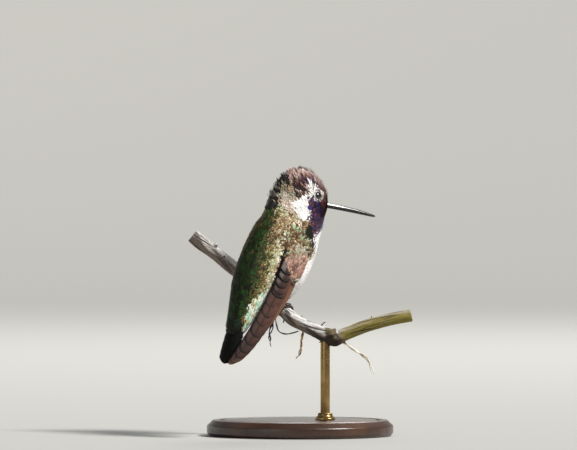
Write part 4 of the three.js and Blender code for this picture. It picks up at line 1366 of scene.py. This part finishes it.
def bark_relief(t, angle):
    """Height of the bark over the mean surface in millimetres, and how deep in a crack each point is."""
    relief = 0.018 * np.sin(angle * 23 + 11 * np.sin(t * 40))
    for height, round_it, along_it in ((0.05, 3, 9), (0.035, 7, -31), (0.03, 5, 60), (0.012, 37, -17)):
        relief = relief + height * np.sin(angle * round_it + t * along_it)
    crack = np.zeros_like(t)
    for middle, turn, length, drift, depth in crack_dice:
        off = (angle - turn * 2 * np.pi - (t - middle) * (drift - 0.5) * 14 + np.pi) % (2 * np.pi) - np.pi
        within_length = np.clip(1 - ((t - middle) / (0.02 + 0.09 * length)) ** 2, 0, 1) ** 0.5
        across = np.exp(-(off / (0.045 + 0.045 * depth)) ** 2)
        crack = np.maximum(crack, within_length * across * (0.5 + 0.5 * depth))
    knob = np.exp(-((t - KNOB_PLACE) / 0.035) ** 2)
    lumps = knob * (0.16 * np.sin(angle * 4 + t * 90) + 0.09 * np.sin(angle * 9 - t * 130))
    return relief + lumps - CRACK_DEPTH * crack, crack


def perch_section(share, angle):
    """The twig's bark, closed at each end by a flat cut with an eased edge."""
    t = np.clip((share - CUT_SHARE) / (1 - 2 * CUT_SHARE), 0, 1)
    disc = np.minimum(1, np.minimum(share, 1 - share) / CUT_SHARE)
    bevel = 0.12 * smooth(disc, 0.93, 1) * (1 - smooth(np.minimum(t, 1 - t), 0, CUT_REACH))
    return round_line(perch_line, t, angle, disc * (perch_radius(t) + bark_relief(t, angle)[0] - bevel - 0.1))


perch = lofted("perch_twig", PERCH_AROUND, PERCH_ALONG, perch_section)
perch.data.uv_layers[0].name = "Grain"
near_line = tree_of(perch_line)


def perch_colours(place, normal):
    """Colour of the bark at each point, from where it is along and round the branch."""
    t = np.array([near_line.find(point)[1] for point in place]) / (len(perch_line) - 1)
    middle, side, front, ahead = frames_on(perch_line, t)
    away = place - middle
    angle = np.arctan2((away * front).sum(1), (away * side).sum(1))
    # Silver above and brown below, partly the bark's own weathering and partly painted light on top and
    # painted shade beneath, and greener past the knob.
    right = smooth(t, 0.66, 0.74)
    top = smooth(normal[:, 2] + 0.25 * np.sin(angle * 5 + 23 * t) - 0.4 * right, -0.05, 0.55)
    bleached_and_lit = blend(tone(212, 209, 209), tone(158, 149, 132), right)
    shaded = blend(tone(122, 110, 98), tone(124, 112, 48), right)
    # Dark blotches, cracks painted darker as shade in their hollows, and the knob, then the pale rings of the
    # cut ends.
    blotch = smooth(np.sin(t * 61 + 2 * np.sin(angle * 2)) + np.sin(angle * 3 + 17 * t), 0.5, 1.3)
    colour = blend(blend(shaded, bleached_and_lit, top), tone(70, 54, 50), blotch * 0.75 * (1 - right))
    colour = blend(colour, tone(40, 31, 30), np.clip(bark_relief(t, angle)[1] * 1.3, 0, 1))
    knob = np.exp(-((t - KNOB_PLACE - 0.004) / 0.052) ** 2)
    knob = smooth(knob + 0.2 * np.sin(angle * 3 + 50 * t) - 0.25 * normal[:, 2] * (t < KNOB_PLACE), 0.3, 0.7)
    # The knob's colour is lighter on its top: painted light.
    colour = blend(colour, blend(tone(50, 38, 28), tone(96, 84, 58), top), knob)
    cut = smooth(np.abs((normal * ahead).sum(1)), 0.75, 0.95) * (np.minimum(t, 1 - t) < CUT_REACH)
    rings = 0.85 + 0.15 * np.sin(np.linalg.norm(away, axis=1) * 16)
    return blend(colour, tone(206, 186, 148) * rings[:, None], cut)


tint_attribute(perch, perch_colours(*points_of(perch)))

bark_material, surface = shade("weathered_bark", Roughness=0.82)
fibres = noise(surface, 1, 6, (46, 60, 1), "Grain")
specks = noise(surface, 1500, 5)
streaked = mixed(surface, "OVERLAY", 0.55, own_tint(surface), fibres)
feed(surface, "Base Color", mixed(surface, "OVERLAY", 0.45, streaked, specks))
bump_from(surface, mixed(surface, "MIX", 0.4, fibres, specks), 0.7, 0.12)
finish_piece(perch, bark_material)
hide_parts("perch_branch")

# Small growths on the twig: a broken thorn, a bud scar and the curled ends of lifted bark.
# Each is its share along the twig, degrees round it, length, radius and lean.
GROWTHS = [(0.578, 88, 1.7, 0.30, 0.5), (0.085, 75, 1.1, 0.95, 0.1), (0.13, 30, 0.9, 0.5, -0.3),
           (0.70, -80, 0.8, 0.28, 0.2), (0.60, -60, 1.0, 0.34, -0.5), (0.475, 100, 0.7, 0.25, 0.9),
           (0.40, -70, 0.9, 0.3, 0.8), (0.22, -85, 0.8, 0.35, -0.6), (0.86, 85, 0.6, 0.3, 0.3)]
growths = []
for t, angle, length, radius, lean in GROWTHS:
    middle, side, front, ahead = frames_on(perch_line, np.array(t))
    turn = math.radians(angle)
    out = side * math.cos(turn) + front * math.sin(turn)
    foot = middle + out * (perch_radius(t) - 0.45)
    line = smooth_line([foot, foot + out * length * 0.6 + ahead * lean * 0.15 * length,
                        foot + out * (length + 0.3) + ahead * lean * length])
    growths.append(limb("growth", line, 12, 16, lambda s: radius * round_ends(s, 0.05, 0.3) * (1 - 0.55 * s)))
growth = joined("perch_growths", growths)
growth.data.uv_layers[0].name = "Grain"
tint_attribute(growth, perch_colours(*points_of(growth)) * 0.9)
finish_piece(growth, bark_material)


# ---- Bark fibres ----
# Shreds of inner bark that hang from the underside of the perch: a long white one, a short peg with orange
# threads, a thin dark twig, and a frayed grey strip. Each is a few strands twisted on one another.

# Each fibre: its knots, its strands, the strand's radius, how far strands stray, and its two colours.
FIBRES = {
    "fibre_long": ([[12.6, -4.6, 30.6], [17.6, -4.4, 27.2], [21.4, -4.2, 24.4], [23.4, -4.1, 19.6]],
                   3, 0.25, 0.20, tone(244, 238, 224), tone(176, 154, 120)),
    "fibre_peg": ([[1.0, -2.6, 33.4], [0.4, -2.4, 30.2], [0.2, -2.2, 27.4], [-1.1, -2.0, 24.3]],
                  4, 0.24, 0.28, tone(222, 184, 124), tone(96, 60, 36)),
    "fibre_twig": ([[-0.4, -2.0, 33.4], [-4.0, -1.4, 32.4], [-6.5, -1.0, 33.2], [-7.6, -0.2, 35.4],
                    [-8.3, 0.6, 38.6]], 2, 0.20, 0.10, tone(44, 35, 30), tone(18, 14, 13)),
    "fibre_strip": ([[-8.2, 2.8, 40.2], [-9.0, 1.6, 35.2], [-9.6, 0.9, 31.4], [-9.4, 0.6, 28.2]],
                    4, 0.25, 0.28, tone(62, 56, 74), tone(22, 18, 28)),
}
bast_material, surface = shade("shredded_bast", Roughness=0.75)
threads = noise(surface, 1, 5, (14, 5, 1), "Grain")
feed(surface, "Base Color", mixed(surface, "OVERLAY", 0.6, own_tint(surface), threads))
bump_from(surface, threads, 0.6, 0.05)
strand_dice = np.random.default_rng(23)
for name, (knots, count, radius, stray, pale, dark) in FIBRES.items():
    strands = []
    for number in range(count):
        phase = strand_dice.random() * 6.3
        line = smooth_line(knots)
        t = np.linspace(0, 1, len(line))
        _, side, front, _ = frames_on(line, t)
        curl = stray * smooth(t, 0, 0.15) * (0.7 + 0.9 * t)
        line = line + side * (np.cos(phase + 9 * t) * curl)[:, None]
        line = line + front * (np.sin(phase + 11 * t) * curl)[:, None]
        kept = int(len(line) * (1 - 0.28 * strand_dice.random() * (number > 0)))
        slim = radius * (1 - 0.25 * strand_dice.random())
        strands.append(limb("strand", line[:kept], 10, 60, lambda s: slim * round_ends(s, 0.02, 0.06) * (
            1.15 - 0.55 * s + 0.12 * np.sin(s * 40 + phase))))
    piece = joined(name + "_strands", strands)
    piece.data.uv_layers[0].name = "Grain"
    place, _ = points_of(piece)
    mix = 0.5 + 0.5 * np.sin(place @ np.array([2.1, 1.7, 3.3]) + np.sin(place[:, 2] * 1.3) * 2)
    tint_attribute(piece, blend(pale, dark, mix ** 2))
    finish_piece(piece, bast_material)
    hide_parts(name)


# ---- Stand ----
# A turned round of dark waxed hardwood with a bead cut into its top, a slim brass rod pegged into the
# underside of the perch, and a brass ferrule that hides where the rod enters the wood.

def turned_for(node, sides, bevel, material, rings):
    """A closed turned piece in its node's place, its edges eased by a bevel in millimetres. rings are in
    millimetres, with radii from the axis and heights from the floor."""
    low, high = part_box(node)
    piece = turned(node + "_turned", [(radius * mm, height * mm) for radius, height in rings], sides)
    bpy.ops.mesh.edge_face_add()
    bpy.ops.mesh.select_all(action="SELECT")
    bpy.ops.transform.translate(value=((low.x + high.x) / 2, (low.y + high.y) / 2, 0))
    bpy.ops.mesh.normals_make_consistent(inside=False)
    bpy.ops.object.mode_set(mode="OBJECT")
    apply_modifier(piece, "BEVEL", width=bevel * mm, segments=3, limit_method="ANGLE")
    bpy.ops.object.shade_smooth_by_angle(angle=math.radians(35))
    finish_piece(piece, material)
    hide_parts(node)


def extent(node):
    """A round node's radius, foot and top, in millimetres."""
    low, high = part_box(node)
    return (high.x - low.x) / 2 / mm, low.z / mm, high.z / mm


wood_material, surface = shade("waxed_hardwood", Coat_Weight=0.25, Coat_Roughness=0.25)
figure = noise(surface, 60, 5, (0.25, 2.6, 1.2))
pores = noise(surface, 700, 4, (0.12, 3.0, 1.5))
figured = ramp(surface, figure, (0.28, tone(36, 23, 17)), (0.5, tone(66, 42, 30)), (0.75, tone(94, 62, 43)))
feed(surface, "Base Color", mixed(surface, "MULTIPLY", 0.55, figured, pores))
feed(surface, "Roughness", ramp(surface, pores, (0.3, 0.42), (0.7, 0.26)))
bump_from(surface, pores, 0.25, 0.05)

# The base: a foot with eased edges, a stepped shoulder and a bead cut into the top.
wide, _, top = extent("stand_base")
turned_for("stand_base", 160, 0.3, wood_material, [
    (4, 0), (wide - 1.0, 0), (wide - 0.2, 0.9), (wide - 0.2, 3.2), (wide - 1.1, 4.0), (wide - 2.1, top),
    (wide - 4.0, top), (wide - 4.4, top - 0.5), (wide - 5.0, top - 0.5), (wide - 5.4, top), (4, top)])

brass_material, surface = shade("brushed_brass", Metallic=1.0)
tarnish = noise(surface, 180, 5)
lines = noise(surface, 900, 2, (0.2, 0.2, 6.0))
feed(surface, "Base Color", ramp(surface, tarnish, (0.3, tone(136, 108, 66)), (0.7, tone(186, 156, 102))))
feed(surface, "Roughness", ramp(surface, lines, (0.3, 0.22), (0.7, 0.38)))
bump_from(surface, lines, 0.2, 0.02)

rod, foot, top = extent("stand_rod")
turned_for("stand_rod", 64, 0.15, brass_material, [(rod, foot - 0.3), (rod, top + 0.5)])
# The ferrule: a thin flange that draws in to a collar round the rod.
wide, foot, top = extent("stand_ferrule")
turned_for("stand_ferrule", 64, 0.12, brass_material, [
    (wide * 0.5, foot), (wide, foot), (wide, foot + 0.6), (wide - 0.5, foot + 0.9), (rod + 0.8, top - 0.7),
    (rod + 0.9, top - 0.3), (rod + 0.5, top), (rod * 0.9, top)])
